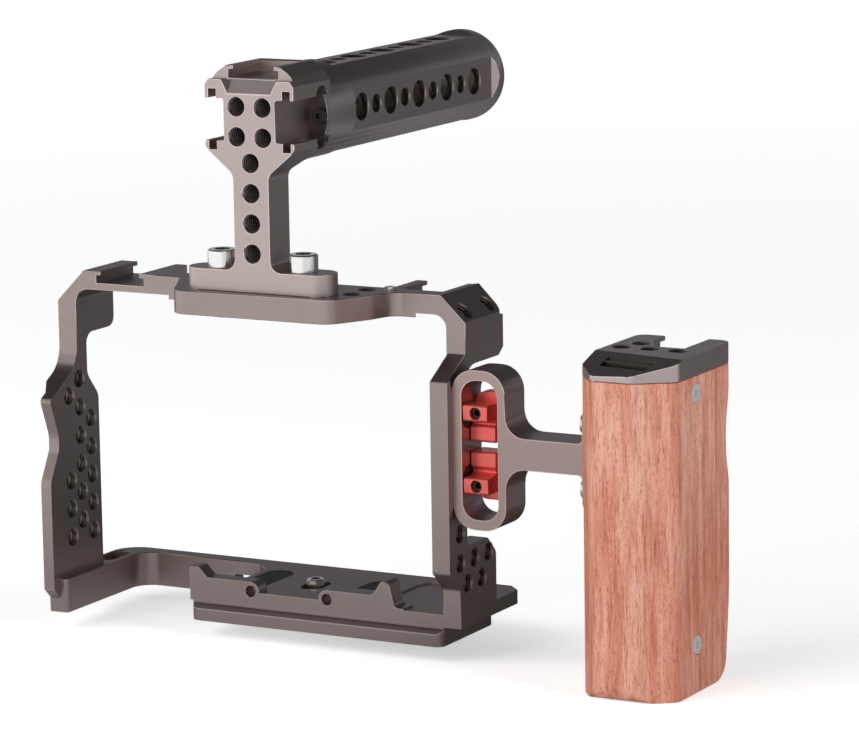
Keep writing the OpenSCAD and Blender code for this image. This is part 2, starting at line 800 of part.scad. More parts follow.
// Outline of the loop, the arm and its end pad, seen along Y
module bracket_outline() {
    h = loop_h / 2;
    a = arm_h / 2;
    translate([0, loop_z]) difference() {
        shape([
            [loop_x, -h, 8], [loop_x1, -h, 8], [loop_x1, -a, 7],
            [arm_x1 - arm_pad_t, -a, arm_pad_r], [arm_x1 - arm_pad_t, -arm_pad_h / 2, arm_pad_r],
            [arm_x1, -arm_pad_h / 2, 0], [arm_x1, arm_pad_h / 2, 0],
            [arm_x1 - arm_pad_t, arm_pad_h / 2, arm_pad_r], [arm_x1 - arm_pad_t, a, arm_pad_r],
            [loop_x1, a, 7], [loop_x1, h, 8], [loop_x, h, 8]], 8);
        shape([
            [slot_x0, -slot_h / 2, 5.5], [slot_x1, -slot_h / 2, 5.5],
            [slot_x1, slot_h / 2, 5.5], [slot_x0, slot_h / 2, 5.5]], 8);
    }
}

module side_bracket() {
    color(dark_bronze) difference() {
        along_y(loop_front, loop_back) bracket_outline();
        for (z = bracket_screw_z) {
            bore_x(loop_x - 1, slot_x0 + 1, right_hole_y, z, hole_d(bracket_thread_d));
            translate([slot_x0 - bracket_head_h, right_hole_y, z]) rotate([0, 90, 0])
                cylinder(h = bracket_head_h + e, d1 = hole_d(bracket_thread_d),
                    d2 = hole_d(bracket_head_d));
        }
        for (z = arm_screw_z) {
            bore_x(arm_x1 - arm_pad_t - 1, arm_x1 + 1, arm_screw_y, z, hole_d(arm_screw_d));
        }
    }
}

// Countersunk screws from inside the loop into the cage's right wall
module side_bracket_screws() {
    color(black) for (z = bracket_screw_z) {
        difference() {
            union() {
                bore_x(x_r + 1, slot_x0 - bracket_head_h + e, right_hole_y, z, bracket_thread_d);
                translate([slot_x0 - bracket_head_h, right_hole_y, z]) rotate([0, 90, 0])
                    cylinder(h = bracket_head_h, d1 = bracket_thread_d, d2 = bracket_head_d);
            }
            translate([slot_x0, right_hole_y, z]) rotate([0, 90, 0]) hex_socket(2.5, 1.4);
        }
    }
}

clamp_gap = 2 * (clamp_close + 0.3);
clamp_end = 2.05;
clamp_h = (slot_h - clamp_gap) / 2 - clamp_open - clamp_end;
clamp_side = 0.3;
clamp_front = loop_front + 0.5;
clamp_back = loop_back - 0.4;
clamp_jaw_w = 9;
clamp_jaw_h = 5.4;
clamp_screw_d = 4;
clamp_screw_z = clamp_h - 6;
clamp_corner = 4;

// The upper clamp, seen along X: a jaw block in front, a ridge below it and a tall back
module clamp_body(up) {
    z0 = loop_z + up * clamp_gap / 2;
    x0 = slot_x0 + clamp_side;
    x1 = slot_x1 - clamp_side;
    back_y = clamp_front + 9.1;
    ridge_y = clamp_front + 5.4;
    screw_x = x0 + clamp_jaw_w / 2;
    jaw_z = clamp_screw_z - clamp_jaw_h / 2;
    color(red) difference() {
        translate([0, 0, z0]) mirror([0, 0, up < 0 ? 1 : 0]) union() {
            along_y(back_y, clamp_back) shape([
                [x0, 0, 0.6], [x1, 0, 0.6], [x1, clamp_h, clamp_corner],
                [x0, clamp_h, clamp_corner]]);
            along_x(x0, x0 + clamp_jaw_w) shape([
                [back_y + 1, 0, 0], [ridge_y, 0, 1], [ridge_y, 5.2, 1.2],
                [ridge_y + 1.6, jaw_z - 1.3, 0.8], [ridge_y - 1, jaw_z - 0.2, 0],
                [clamp_front, jaw_z, 0.8], [clamp_front, jaw_z + clamp_jaw_h, 0.8],
                [back_y + 1, jaw_z + clamp_jaw_h, 0]]);
        }
        bore_y(screw_x, clamp_front - 1, clamp_back + 1, z0 + up * clamp_screw_z,
            hole_d(clamp_screw_d));
    }
}

module cable_clamp_upper() {
    clamp_body(1);
}

module cable_clamp_lower() {
    clamp_body(-1);
}

// The black grub screw in a clamp's jaw
module clamp_screw(up) {
    x = slot_x0 + clamp_side + clamp_jaw_w / 2;
    z = loop_z + up * (clamp_gap / 2 + clamp_screw_z);
    color(black) translate([x, clamp_front + 1.6, z]) rotate([90, 0, 0]) difference() {
        translate([0, 0, -9]) cylinder(h = 9, d = clamp_screw_d);
        hex_socket(2, 2);
    }
}

module clamp_screw_upper() {
    clamp_screw(1);
}

module clamp_screw_lower() {
    clamp_screw(-1);
}

// ---------- the side grip ----------

grip_x0 = arm_x1;
grip_x1 = grip_x0 + grip_w;
grip_front = -38.9;
grip_back = grip_front + grip_d;
cap_z = 98.7;
cap_top = cap_z + cap_h;
wood_z0 = cap_z - wood_h;
core_x0 = grip_x0 + 9;
core_x1 = grip_x1 - 9;
core_y0 = grip_front + 13;
core_y1 = core_y0 + 20;
core_z0 = wood_z0 + 9;
arm_screw_y = loop_front + loop_d / 2;
arm_screw_gap = 21.6;
arm_screw_z = [loop_z - arm_screw_gap / 2, loop_z + arm_screw_gap / 2];
arm_screw_d = 4;
arm_head_d = 7;
arm_head_h = 2.6;
arm_screw_l = 22;
side_screw_d = 4;
side_head_d = 6.4;
side_head_h = 2.2;
side_seat = 2.4;
side_screw_l = 12.6;
side_screw_y = -15.7;
side_screw_z = [wood_z0 + 16, cap_z - 5.8];
swell = 1.4;
swell_h = 52;
waist = 6.4;
waist_h = 80;
swell_r = 45;

// Outline of the grip, seen from above: flat sides, a cut front
module grip_outline() {
    shape([
        [grip_x0, grip_back, 4], [grip_x0, grip_front + 8, 4], [grip_x0 + 7, grip_front, 4],
        [grip_x1 - 12.5, grip_front, 6], [grip_x1, grip_front + 8.6, 4],
        [grip_x1, grip_back, 4]], 8);
}

// Outline of the wood, seen along X: a waist under the cap and a palm swell behind
module wood_profile() {
    shape([
        [grip_front, cap_z, 0], [grip_front, wood_z0, 5], [grip_back - 6, wood_z0, 8],
        [grip_back - 3, wood_z0 + swell_h / 2, 30], [grip_back + swell, wood_z0 + swell_h, swell_r],
        [grip_back - waist, wood_z0 + waist_h, swell_r - 5], [grip_back, cap_z, 0]], 10);
}

module grip_wood() {
    color(wood) difference() {
        intersection() {
            along_z(wood_z0, cap_z) grip_outline();
            along_x(grip_x0, grip_x1) wood_profile();
        }
        box(core_x0, core_x1, core_y0, core_y1, core_z0, cap_z + 1);
        for (z = side_screw_z) {
            bore_x(core_x1 - 1, grip_x1 + 1, side_screw_y, z, hole_d(side_screw_d));
            bore_x(grip_x1 - side_seat, grip_x1 + 1, side_screw_y, z, hole_d(side_head_d));
        }
        for (z = arm_screw_z) {
            bore_x(grip_x0 - 1, core_x0 + 1, arm_screw_y, z, hole_d(arm_screw_d));
        }
        for (p = cap_screws) {
            bore_z(p[0], p[1], cap_shoe_floor - cap_screw_l - 1, cap_z + 1, hole_d(cap_screw_d));
        }
    }
}

// The metal core that every screw of the grip goes into
module grip_core() {
    color(steel) difference() {
        box(core_x0, core_x1, core_y0, core_y1, core_z0, cap_z);
        for (z = side_screw_z) {
            bore_x(grip_x1 - side_seat - side_screw_l - 1, core_x1 + 1, side_screw_y, z,
                hole_d(side_screw_d));
        }
        for (z = arm_screw_z) {
            bore_x(core_x0 - 1, arm_x1 - arm_pad_t + arm_screw_l + 1, arm_screw_y, z,
                hole_d(arm_screw_d));
        }
    }
}

cap_slope_y = -21;
cap_slope = 17.5;
cap_skew = -9.5;
cap_shoe_x = grip_x0 + grip_w / 2 + 0.6;
cap_shoe_y = -7.5;
cap_shoe_floor = cap_top - shoe_lip_t - shoe_slot_h;
cap_screw_d = 3;
cap_head_d = 6;
cap_head_h = 1.6;
cap_screw_l = 10;
cap_screws = [[cap_shoe_x - 4, 2], [cap_shoe_x + 4, 2]];
cap_hole_y = -12.3;
cap_holes = concat(
    [for (i = [0 : 2]) [grip_x0 + 5.4 + i * hole_pitch, cap_hole_y]],
    [[grip_x0 + 8.5, cap_hole_y + 8.3]]);
strap_slot_x = [8, 26.3];
strap_slot_y = [-9.2, -5.9];
strap_ramp_y = -3;
strap_ramp_t = 2.2;

// The shoe in the cap, open to the back, with a slanted corner at its front left
module cap_shoe() {
    left = cap_shoe_x - shoe_slot_w / 2 - 1;
    difference() {
        shoe_cut(cap_shoe_x, cap_shoe_y, grip_back + 1, cap_top);
        along_z(cap_z, cap_top + 1) polygon([
            [left, cap_shoe_y - 1], [cap_shoe_x - 1.8, cap_shoe_y - 1], [left, cap_shoe_y + 14.6]]);
    }
}

// The slanted front of the cap, with the strap slot in it
module cap_front_cuts() {
    translate([grip_x0, cap_slope_y, cap_top]) rotate([0, 0, cap_skew]) rotate([cap_slope, 0, 0]) {
        translate([-20, -60, 0]) cube([grip_w + 40, 60, 20]);
        along_x(strap_slot_x[0], strap_slot_x[1]) polygon([
            [strap_ramp_y, 0], [strap_slot_y[1], -strap_ramp_t], [strap_slot_y[1], 1],
            [strap_ramp_y, 1]]);
    }
    along_z(cap_z + 0.8, cap_top) translate([grip_x0, cap_slope_y]) rotate(cap_skew) shape([
        [strap_slot_x[0], strap_slot_y[0], 1], [strap_slot_x[1], strap_slot_y[0], 1],
        [strap_slot_x[1], strap_slot_y[1], 0], [strap_slot_x[0], strap_slot_y[1], 0]]);
}

module grip_cap() {
    color(dark_bronze) difference() {
        along_z(cap_z, cap_top) grip_outline();
        cap_front_cuts();
        cap_shoe();
        for (p = cap_holes) {
            bore_z(p[0], p[1], cap_z + 1, cap_top + 1, quarter_d);
        }
        for (p = cap_screws) {
            bore_z(p[0], p[1], cap_z - 1, cap_top, hole_d(cap_screw_d));
            translate([p[0], p[1], cap_shoe_floor - cap_head_h])
                cylinder(h = cap_head_h + e, d1 = hole_d(cap_screw_d), d2 = hole_d(cap_head_d));
        }
    }
}

// Countersunk screws from the shoe's floor down into the wood
module grip_cap_screws() {
    color(black) for (p = cap_screws) {
        translate([p[0], p[1], cap_shoe_floor]) difference() {
            union() {
                translate([0, 0, -cap_screw_l]) cylinder(h = cap_screw_l - 0.5, d = cap_screw_d);
                translate([0, 0, -cap_head_h])
                    cylinder(h = cap_head_h, d1 = cap_screw_d, d2 = cap_head_d);
            }
            hex_socket(2, 1.2);
        }
    }
}

// Screws from the wood's right side into the core
module grip_side_screws() {
    seat_x = grip_x1 - side_seat;
    color(steel) for (z = side_screw_z) {
        difference() {
            union() {
                bore_x(seat_x - side_screw_l, seat_x + e, side_screw_y, z, side_screw_d);
                bore_x(seat_x, seat_x + side_head_h, side_screw_y, z, side_head_d);
            }
            translate([seat_x + side_head_h, side_screw_y, z]) rotate([0, 90, 0])
                hex_socket(2.5, 1.5);
        }
    }
}

// Screws from the arm's end pad through the wood into the core
module grip_arm_screws() {
    x = arm_x1 - arm_pad_t;
    color(steel) for (z = arm_screw_z) {
        difference() {
            union() {
                bore_x(x - e, x + arm_screw_l, arm_screw_y, z, arm_screw_d);
                bore_x(x - arm_head_h, x, arm_screw_y, z, arm_head_d);
            }
            translate([x - arm_head_h, arm_screw_y, z]) rotate([0, -90, 0]) hex_socket(3, 1.6);
        }
    }
}

cage_frame();
base_pads();
camera_screw();
camera_screw_clip();
deck_stop_screw();
handle_upright();
handle_screw_left();
handle_screw_right();
handle_grip();
handle_joint_screws();
side_bracket();
side_bracket_screws();
cable_clamp_upper();
cable_clamp_lower();
clamp_screw_upper();
clamp_screw_lower();
grip_wood();
grip_core();
grip_cap();
grip_cap_screws();
grip_side_screws();
grip_arm_screws();
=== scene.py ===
# %% [markdown]
# # A camera cage with its top handle, side bracket and wooden grip
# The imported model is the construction: every piece at its real size, in metres. This script gives
# each piece its finish: anodised metal with broken edges, threads in the holes, plated and black
# screws, rubber pads and oiled wood. The pieces keep the place and the size that the model gives.

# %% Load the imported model
import math

import bmesh
import bpy
from mathutils import Matrix, Vector, geometry
from mathutils.bvhtree import BVHTree


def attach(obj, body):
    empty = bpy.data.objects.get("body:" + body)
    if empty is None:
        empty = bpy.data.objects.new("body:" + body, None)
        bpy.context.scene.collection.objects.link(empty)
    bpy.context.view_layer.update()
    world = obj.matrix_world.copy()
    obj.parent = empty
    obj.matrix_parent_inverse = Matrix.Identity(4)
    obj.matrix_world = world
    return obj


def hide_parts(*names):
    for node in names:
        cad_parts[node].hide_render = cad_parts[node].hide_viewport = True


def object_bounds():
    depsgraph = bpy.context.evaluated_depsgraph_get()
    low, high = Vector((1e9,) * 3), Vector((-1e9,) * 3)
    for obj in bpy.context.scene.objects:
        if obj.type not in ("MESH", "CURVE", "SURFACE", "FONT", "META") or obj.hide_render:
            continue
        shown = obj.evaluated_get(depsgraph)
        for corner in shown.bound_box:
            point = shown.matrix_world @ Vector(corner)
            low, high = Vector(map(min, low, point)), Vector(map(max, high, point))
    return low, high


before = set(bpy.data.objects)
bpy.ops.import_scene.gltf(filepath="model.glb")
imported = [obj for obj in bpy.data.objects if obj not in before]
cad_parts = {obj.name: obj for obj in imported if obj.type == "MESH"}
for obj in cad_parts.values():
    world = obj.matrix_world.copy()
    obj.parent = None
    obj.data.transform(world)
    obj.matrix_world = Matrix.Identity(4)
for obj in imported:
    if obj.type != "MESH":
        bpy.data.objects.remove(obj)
cad_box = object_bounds()
scene = bpy.context.scene
scene.view_settings.view_transform = "Standard"
MM = 0.001
print("the model is", [round(x / MM, 1) for x in cad_box[1] - cad_box[0]], "mm")

# %% [markdown]
# ## Camera
# A product is shown with a long lens from far away, so that upright edges stay nearly parallel and
# round holes stay round. The camera stands to the right of the cage's front and a little above it.
# Its place and turns are typed in, because they were measured once and never move.

# %% Place the camera
CAMERA_PLACE = (0.7192, -1.2434, 0.3452)
CAMERA_TURN, CAMERA_DIP, CAMERA_ROLL = 28.4446, 10.2885, -0.9204
CAMERA_LENS = 179.73
CAMERA_SEES_TO = 60

bpy.ops.object.camera_add()
camera = bpy.context.object
camera.name = "camera"
camera.data.lens = CAMERA_LENS
camera.data.clip_end = CAMERA_SEES_TO
camera.matrix_world = (
    Matrix.Translation(CAMERA_PLACE)
    @ Matrix.Rotation(math.radians(CAMERA_TURN), 4, "Z")
    @ Matrix.Rotation(math.radians(90 - CAMERA_DIP), 4, "X")
    @ Matrix.Rotation(math.radians(CAMERA_ROLL), 4, "Z")
)
scene.camera = camera
print("camera with a lens of", CAMERA_LENS, "mm")

# %% [markdown]
# ## Building materials from nodes
# A finish is a small net of nodes. In the shader editor each node is added and wired by hand; here
# a few helpers do the same in one line each, so that a material reads from top to bottom: noise,
# then the colours it picks, then the shader.


# %% Helpers that add and wire nodes
def new_material(name):
    """Gives a new material, its nodes and its shader."""
    material = bpy.data.materials.new(name)
    material.use_nodes = True
    nodes = material.node_tree.nodes
    return material, nodes, nodes["Principled BSDF"]


def feed(tree, socket, value):
    """Gives an input socket a fixed value, or links it from another node's output."""
    if isinstance(value, bpy.types.NodeSocket):
        tree.links.new(value, socket)
    else:
        socket.default_value = value


def add_node(tree, kind, settings=None, **inputs):
    """Adds a node. An input goes by its label, or by its number as i0, i1 and so on."""
    node = tree.nodes.new("ShaderNode" + kind)
    for key, value in (settings or {}).items():
        setattr(node, key, value)
    for key, value in inputs.items():
        by_number = key[0] == "i" and key[1:].isdigit()
        feed(tree, node.inputs[int(key[1:]) if by_number else key.replace("_", " ")], value)
    return node


def calculate(tree, operation, *values):
    """One step of arithmetic on values or output sockets."""
    inputs = {f"i{i}": value for i, value in enumerate(values)}
    return add_node(tree, "Math", {"operation": operation}, **inputs).outputs[0]


print("wiring helpers ready")


# %% Helpers for colours and ranges
def blend_colours(tree, factor, first, second, blend="MIX"):
    """Two colours mixed by a factor, each four numbers or an output socket."""
    mix = add_node(tree, "Mix", {"data_type": "RGBA", "blend_type": blend})
    for number, value in ((0, factor), (6, first), (7, second)):
        feed(tree, mix.inputs[number], value)
    return mix.outputs[2]


def ramp(tree, value, stops):
    """A colour ramp over a value: stops are (position, colour)."""
    node = add_node(tree, "ValToRGB", None, Fac=value)
    marks = node.color_ramp.elements
    while len(marks) < len(stops):
        marks.new(1.0)
    for mark, (place, colour) in zip(marks, stops):
        mark.position = place
        mark.color = (*colour, 1)
    return node.outputs["Color"]


def map_range(tree, value, low, high):
    """Moves a value from 0..1 to low..high."""
    return add_node(tree, "MapRange", None, Value=value, To_Min=low, To_Max=high).outputs["Result"]


def smooth_step(tree, value, start, end):
    """Rises smoothly from 0 to 1 while the value goes from start to end."""
    node = add_node(tree, "MapRange", {"interpolation_type": "SMOOTHSTEP"}, Value=value,
                    From_Min=start, From_Max=end)
    return node.outputs["Result"]


def solid_noise(tree, size, detail, roughness=0.5, twist=0.0):
    """Noise through the piece, in cells of size millimetres along X, Y and Z."""
    place = add_node(tree, "TexCoord").outputs["Object"]
    cells = add_node(tree, "Mapping", None, Vector=place)
    cells.inputs["Scale"].default_value = tuple(1 / (s * MM) for s in size)
    return add_node(tree, "TexNoise", None, Vector=cells.outputs[0], Scale=1.0, Detail=detail,
                    Roughness=roughness, Distortion=twist).outputs["Fac"]


def roughen(tree, shader, height, strength, depth):
    """Makes a surface uneven by a pattern, in its shading only; depth is in millimetres."""
    bump = add_node(tree, "Bump", None, Height=height, Strength=strength, Distance=depth * MM)
    tree.links.new(bump.outputs["Normal"], shader.inputs["Normal"])


print("pattern helpers ready")

# %% [markdown]
# ## Studio
# Metal shows what stands round it. In a studio, a pale table lies under the object, with bright and
# dark boards round it. Modelled boards would work too, but they would cast shadows and be in the
# way of other views. So the table and the air carry the fall of light themselves:
# bright at the front left and the right, dimmer behind, dark above, and dark on the table close to
# the object, in its own shade. Only mirror-like rays see that. The camera sees white.

# %% How light falls round the object
TOWARDS_LIGHT = (-0.62, -0.79, 0.0)
TOWARDS_RIGHT = (0.95, -0.30, 0.0)
LIGHT_SPREAD = (-0.75, 0.75)
NARROW_SPREAD = (0.15, 0.80)
RIGHT_SPREAD = (0.60, 0.95)
RIGHT_LIGHT = 0.75
WHITE = (1, 1, 1, 1)


def grey(level, tint=(1, 1, 1)):
    """A grey of a level, or a colour near it."""
    return (*[level * c for c in tint], 1)


def facing(tree, vector, direction, spread):
    """Is 0 in directions away from a direction and rises to 1 towards it."""
    dot = add_node(tree, "VectorMath", {"operation": "DOT_PRODUCT"}, i0=vector, i1=direction)
    return smooth_step(tree, dot.outputs["Value"], *spread)


def facing_light(tree, vector):
    """Is 1 towards the bright front left."""
    return facing(tree, vector, TOWARDS_LIGHT, LIGHT_SPREAD)


def with_right_light(tree, vector, colour):
    """Adds the bright side at the right to a colour."""
    right = facing(tree, vector, TOWARDS_RIGHT, RIGHT_SPREAD)
    return blend_colours(tree, right, colour, grey(RIGHT_LIGHT))


def seen_directly(tree, path):
    """Is 1 for rays of the camera and for rays that went through something clear."""
    return calculate(tree, "MAXIMUM", path.outputs["Is Camera Ray"],
                     path.outputs["Is Transmission Ray"])


print("light comes from", TOWARDS_LIGHT, "and", TOWARDS_RIGHT)

# %% [markdown]
# ### Table
# The table is one large matt plane just under the lowest piece. Its paint keeps the object's shadow
# and glows a little towards the distance, so that it ends in the white behind it without an edge.

# %% Lay the table
TABLE_SIZE = 12.0
table_level = cad_box[0].z - 0.02 * MM

bpy.ops.mesh.primitive_plane_add(size=TABLE_SIZE, location=(0, 0, table_level))
table = bpy.context.object
table.name = "floor"
bpy.ops.object.transform_apply(location=True)
print("table at", round(table_level / MM, 2), "mm")

# %% What metal sees of the table
SHADE_REACH = 0.60
TABLE_SHADE, TABLE_BACK, TABLE_FRONT = 0.35, 0.11, 1.0
PATCH_LEVEL, PATCH_TINT = 0.32, (0.95, 1.0, 1.1)
PATCH_DISTANCE, PATCH_WIDTH = 0.38, 0.18

table_paint, nodes, shader = new_material("pale_table")
tree = table_paint.node_tree
path = add_node(tree, "LightPath")
position = add_node(tree, "TexCoord").outputs["Object"]
direction = add_node(tree, "VectorMath", {"operation": "NORMALIZE"}, i0=position).outputs["Vector"]
distance = add_node(tree, "VectorMath", {"operation": "LENGTH"}, i0=position).outputs["Value"]
towards_light = facing_light(tree, direction)
far = blend_colours(tree, towards_light, grey(TABLE_BACK), grey(TABLE_FRONT))
far = with_right_light(tree, direction, far)
near = blend_colours(tree, towards_light, grey(TABLE_SHADE * TABLE_BACK),
                     grey(TABLE_SHADE * TABLE_FRONT))
fall = blend_colours(tree, smooth_step(tree, distance, 0, SHADE_REACH), near, far)

from_patch = calculate(tree, "ABSOLUTE", calculate(tree, "SUBTRACT", distance, PATCH_DISTANCE))
patch = calculate(tree, "MULTIPLY", smooth_step(tree, from_patch, PATCH_WIDTH, 0),
                  calculate(tree, "SUBTRACT", 1.0, towards_light))
seen_in_metal = blend_colours(tree, patch, fall, grey(PATCH_LEVEL, PATCH_TINT))
print("the table is", TABLE_FRONT / TABLE_BACK, "times brighter at the front than behind")

# %% Paint the table
TABLE_COLOUR = (0.82, 0.82, 0.83, 1)
GLOW_NEAR, GLOW_STARTS, GLOW_FULL = 0.55, 0.3, 3.0

shader.inputs["Base Color"].default_value = TABLE_COLOUR
shader.inputs["Roughness"].default_value = 0.9
shader.inputs["Specular IOR Level"].default_value = 0.0
glossy = path.outputs["Is Glossy Ray"]
glow_level = smooth_step(tree, distance, GLOW_STARTS, GLOW_FULL)
glow_level.node.inputs["To Min"].default_value = GLOW_NEAR
white_share = calculate(tree, "MULTIPLY", seen_directly(tree, path), glow_level)
strength = calculate(tree, "ADD", white_share, glossy)
glow = add_node(tree, "Emission", None, Color=blend_colours(tree, glossy, WHITE, seen_in_metal),
                Strength=strength)
matt = add_node(tree, "AddShader", None, i0=shader.outputs[0], i1=glow.outputs[0])
paint = add_node(tree, "MixShader", None, Fac=glossy, i1=matt.outputs[0], i2=glow.outputs[0])
tree.links.new(paint.outputs[0], nodes["Material Output"].inputs["Surface"])
table.data.materials.append(table_paint)
print("table painted")

# %% [markdown]
# ### Air
# The air round the table is the background. It is white for the camera. For metal it is a room:
# pale towards the light, with a cool band low behind, and nearly black overhead, which is what
# gives the tops of dark anodised parts their depth.

# %% Fill the room
ROOM_FRONT, ROOM_ABOVE = 0.80, 0.05
ROOM_BACK = [(0.0, (0.13, 0.13, 0.14)), (0.08, (0.16, 0.165, 0.18)), (0.16, (0.34, 0.37, 0.43)),
             (0.30, (0.28, 0.30, 0.34)), (0.50, (0.05, 0.05, 0.05))]
LOW_TO_HIGH, FRONT_FADES = (0.15, 0.45), (0.45, 0.92)

world = bpy.data.worlds.new("studio_air")
world.use_nodes = True
scene.world = world
tree = world.node_tree
path = add_node(tree, "LightPath")
towards = add_node(tree, "TexCoord").outputs["Generated"]
height = add_node(tree, "SeparateXYZ", None, Vector=towards).outputs["Z"]
low = blend_colours(tree, facing_light(tree, towards), ramp(tree, height, ROOM_BACK),
                    grey(ROOM_FRONT))
low = with_right_light(tree, towards, low)
front = blend_colours(tree, smooth_step(tree, height, *FRONT_FADES), grey(ROOM_FRONT),
                      grey(ROOM_ABOVE))
high = blend_colours(tree, facing(tree, towards, TOWARDS_LIGHT, NARROW_SPREAD), grey(ROOM_ABOVE),
                     front)
room = blend_colours(tree, smooth_step(tree, height, *LOW_TO_HIGH), low, high)
seen = blend_colours(tree, seen_directly(tree, path), room, WHITE)
tree.links.new(seen, tree.nodes["Background"].inputs["Color"])
print("the room has", len(ROOM_BACK), "bands behind")

# %% [markdown]
# ## Lamps
# Two large soft lamps light what isn't a mirror: the wood, the rubber and the table. The strong one
# hangs at the upper front left, and a weaker one at the right lights the wood's side. They don't
# show in metal, whose light comes from the studio above, so no hard white spot lies on a bevel.

# %% Place the lamps
LAMP_DISTANCE = 2.0
LAMPS = [
    ("key_lamp", (-0.46, -0.72, 0.52), (1.8, 1.2), 25),
    ("side_lamp", (0.93, -0.20, 0.42), (0.7, 1.4), 17),
]


def soft_lamp(name, direction, size, power):
    """A large area lamp that looks at the middle of the object."""
    middle = (cad_box[0] + cad_box[1]) / 2
    away = Vector(direction).normalized()
    bpy.ops.object.light_add(type="AREA", location=middle + away * LAMP_DISTANCE)
    lamp = bpy.context.object
    lamp.name = name
    lamp.data.shape = "RECTANGLE"
    lamp.data.size, lamp.data.size_y = size
    lamp.data.energy = power
    lamp.rotation_euler = away.to_track_quat("Z", "Y").to_euler()
    lamp.visible_camera = lamp.visible_glossy = False


for row in LAMPS:
    soft_lamp(*row)
print(len(LAMPS), "lamps")

# %% [markdown]
# ## Anodised aluminium
# The cage, the handle, the bracket and the cap are milled, bead blasted and anodised. Blasting
# leaves a fine even grain that makes the shine soft, over the faint level lines of the cutter, and
# the dye is a little uneven. An image of such a surface would repeat and need a UV map, so three
# noises do it instead, each with its own cell size. The bevels get a second material, smoother and
# lighter: the lighter colour is partly wear of the thinner layer and partly a painted highlight.

# %% Helper for anodised metal
CUTTER_LINES, CUTTER_SHARE = (25, 25, 0.5), 0.6
CLOUD_SIZE, GRAIN_SIZE = 30, 0.16
DARKER, LIGHTER = 0.90, 1.09
GRAIN_SPREAD = 0.05


def anodised(name, colour, roughness, grain=0.05, metallic=1.0):
    """Blasted and dyed aluminium; grain is how strongly the blasting shows."""
    material, nodes, shader = new_material(name)
    tree = material.node_tree
    place = add_node(tree, "TexCoord").outputs["Object"]
    cloud = add_node(tree, "TexNoise", None, Vector=place, Scale=1 / (CLOUD_SIZE * MM), Detail=3.0)
    fine = add_node(tree, "TexNoise", None, Vector=place, Scale=1 / (GRAIN_SIZE * MM), Detail=1.0)
    fine = fine.outputs["Fac"]
    lines = solid_noise(tree, CUTTER_LINES, 2.0)
    tone = calculate(tree, "MULTIPLY_ADD", lines, CUTTER_SHARE, cloud.outputs["Fac"])
    tone = calculate(tree, "SUBTRACT", tone, CUTTER_SHARE / 2)
    colours = [(*[min(1, c * change) for c in colour], 1) for change in (DARKER, LIGHTER)]
    tree.links.new(blend_colours(tree, tone, *colours), shader.inputs["Base Color"])
    rough = map_range(tree, fine, roughness - GRAIN_SPREAD, roughness + GRAIN_SPREAD)
    tree.links.new(rough, shader.inputs["Roughness"])
    roughen(tree, shader, fine, grain, 0.05)
    shader.inputs["Metallic"].default_value = metallic
    return material


print("anodised metal has a grain of", GRAIN_SIZE, "mm")

# %% Metal finishes
# The first number lightens the bevels' colour: partly wear, partly a painted highlight on the
# edges.
EDGE_WEAR_AND_HIGHLIGHT, EDGE_SMOOTHER, EDGE_GRAIN = 1.35, 0.1, 0.02


def finish(name, colour, roughness, metallic=1.0):
    """A face material and one for its bevels, smoother and lighter: wear and a painted highlight.
    """
    edge_wear_and_highlight_colour = tuple(min(1, c * EDGE_WEAR_AND_HIGHLIGHT) for c in colour)
    face = anodised(name, colour, roughness, metallic=metallic)
    edge = anodised(name + "_edge", edge_wear_and_highlight_colour, roughness - EDGE_SMOOTHER, EDGE_GRAIN, metallic)
    return face, edge


# The second and fourth finish are lighter copies: the upright is the cage's bronze, the tube and
# cap
# the bracket's dark bronze, each made lighter in colour as painted light, not a lighter dye.
bronze = finish("bronze", (0.437, 0.355, 0.339), 0.40)
bronze_painted_lighter = finish("bronze_painted_lighter", (0.600, 0.505, 0.485), 0.42)
warm_bronze = finish("warm_bronze", (0.500, 0.385, 0.360), 0.40)
dark_bronze = finish("dark_bronze", (0.620, 0.525, 0.510), 0.38)
red = finish("red", (1.0, 0.17, 0.15), 0.28, 0.72)
# The material of deep faces: its dark colour is painted shade.
painted_shade_finish = anodised("bore", (0.115, 0.097, 0.092), 0.50)
# The thread ridges are darker than the faces round the holes: painted shade inside the holes.
thread_finish = anodised("thread", (0.300, 0.250, 0.240), 0.40)
print("metals:", [pair[0].name for pair in (bronze, bronze_painted_lighter, warm_bronze, dark_bronze, red)])

# %% [markdown]
# ## Screws and core
# Plated screws are turned on a lathe, so their shine is streaked across the axis: a noise squeezed
# flat along Z gives fine rings round an upright screw. Black screws are oxidised, with a low oily
# sheen. The core inside the wood is plain aluminium.

# %% Screw finishes
TURNING_LINES = (2.5, 2.5, 0.2)
TURNING_DARKER, TURNING_SPREAD = 0.92, 0.06


def turned_steel(name, colour, roughness, metallic=1.0):
    """Metal from a lathe, with fine lines."""
    material, nodes, shader = new_material(name)
    tree = material.node_tree
    lines = solid_noise(tree, TURNING_LINES, 2.0)
    darker = (*[c * TURNING_DARKER for c in colour], 1)
    tree.links.new(blend_colours(tree, lines, darker, (*colour, 1)), shader.inputs["Base Color"])
    rough = map_range(tree, lines, roughness - TURNING_SPREAD, roughness + TURNING_SPREAD)
    tree.links.new(rough, shader.inputs["Roughness"])
    roughen(tree, shader, lines, 0.05, 0.02)
    shader.inputs["Metallic"].default_value = metallic
    return material


steel = turned_steel("plated_steel", (0.95, 0.94, 0.93), 0.17)
satin_steel = turned_steel("satin_steel", (0.90, 0.90, 0.90), 0.34, 0.55)
black_steel = turned_steel("black_oxide_steel", (0.045, 0.044, 0.046), 0.36, 0.6)
core_metal = turned_steel("core_aluminium", (0.75, 0.75, 0.76), 0.35)
print("4 turned metals")

# %% [markdown]
# ## Rubber
# The two pads in the floor keep the camera from slipping. They are matt black rubber with a fine
# dusty grain, which one noise gives to the colour, the roughness and the surface together.

# %% Rubber finish
RUBBER_GRAIN = 0.3

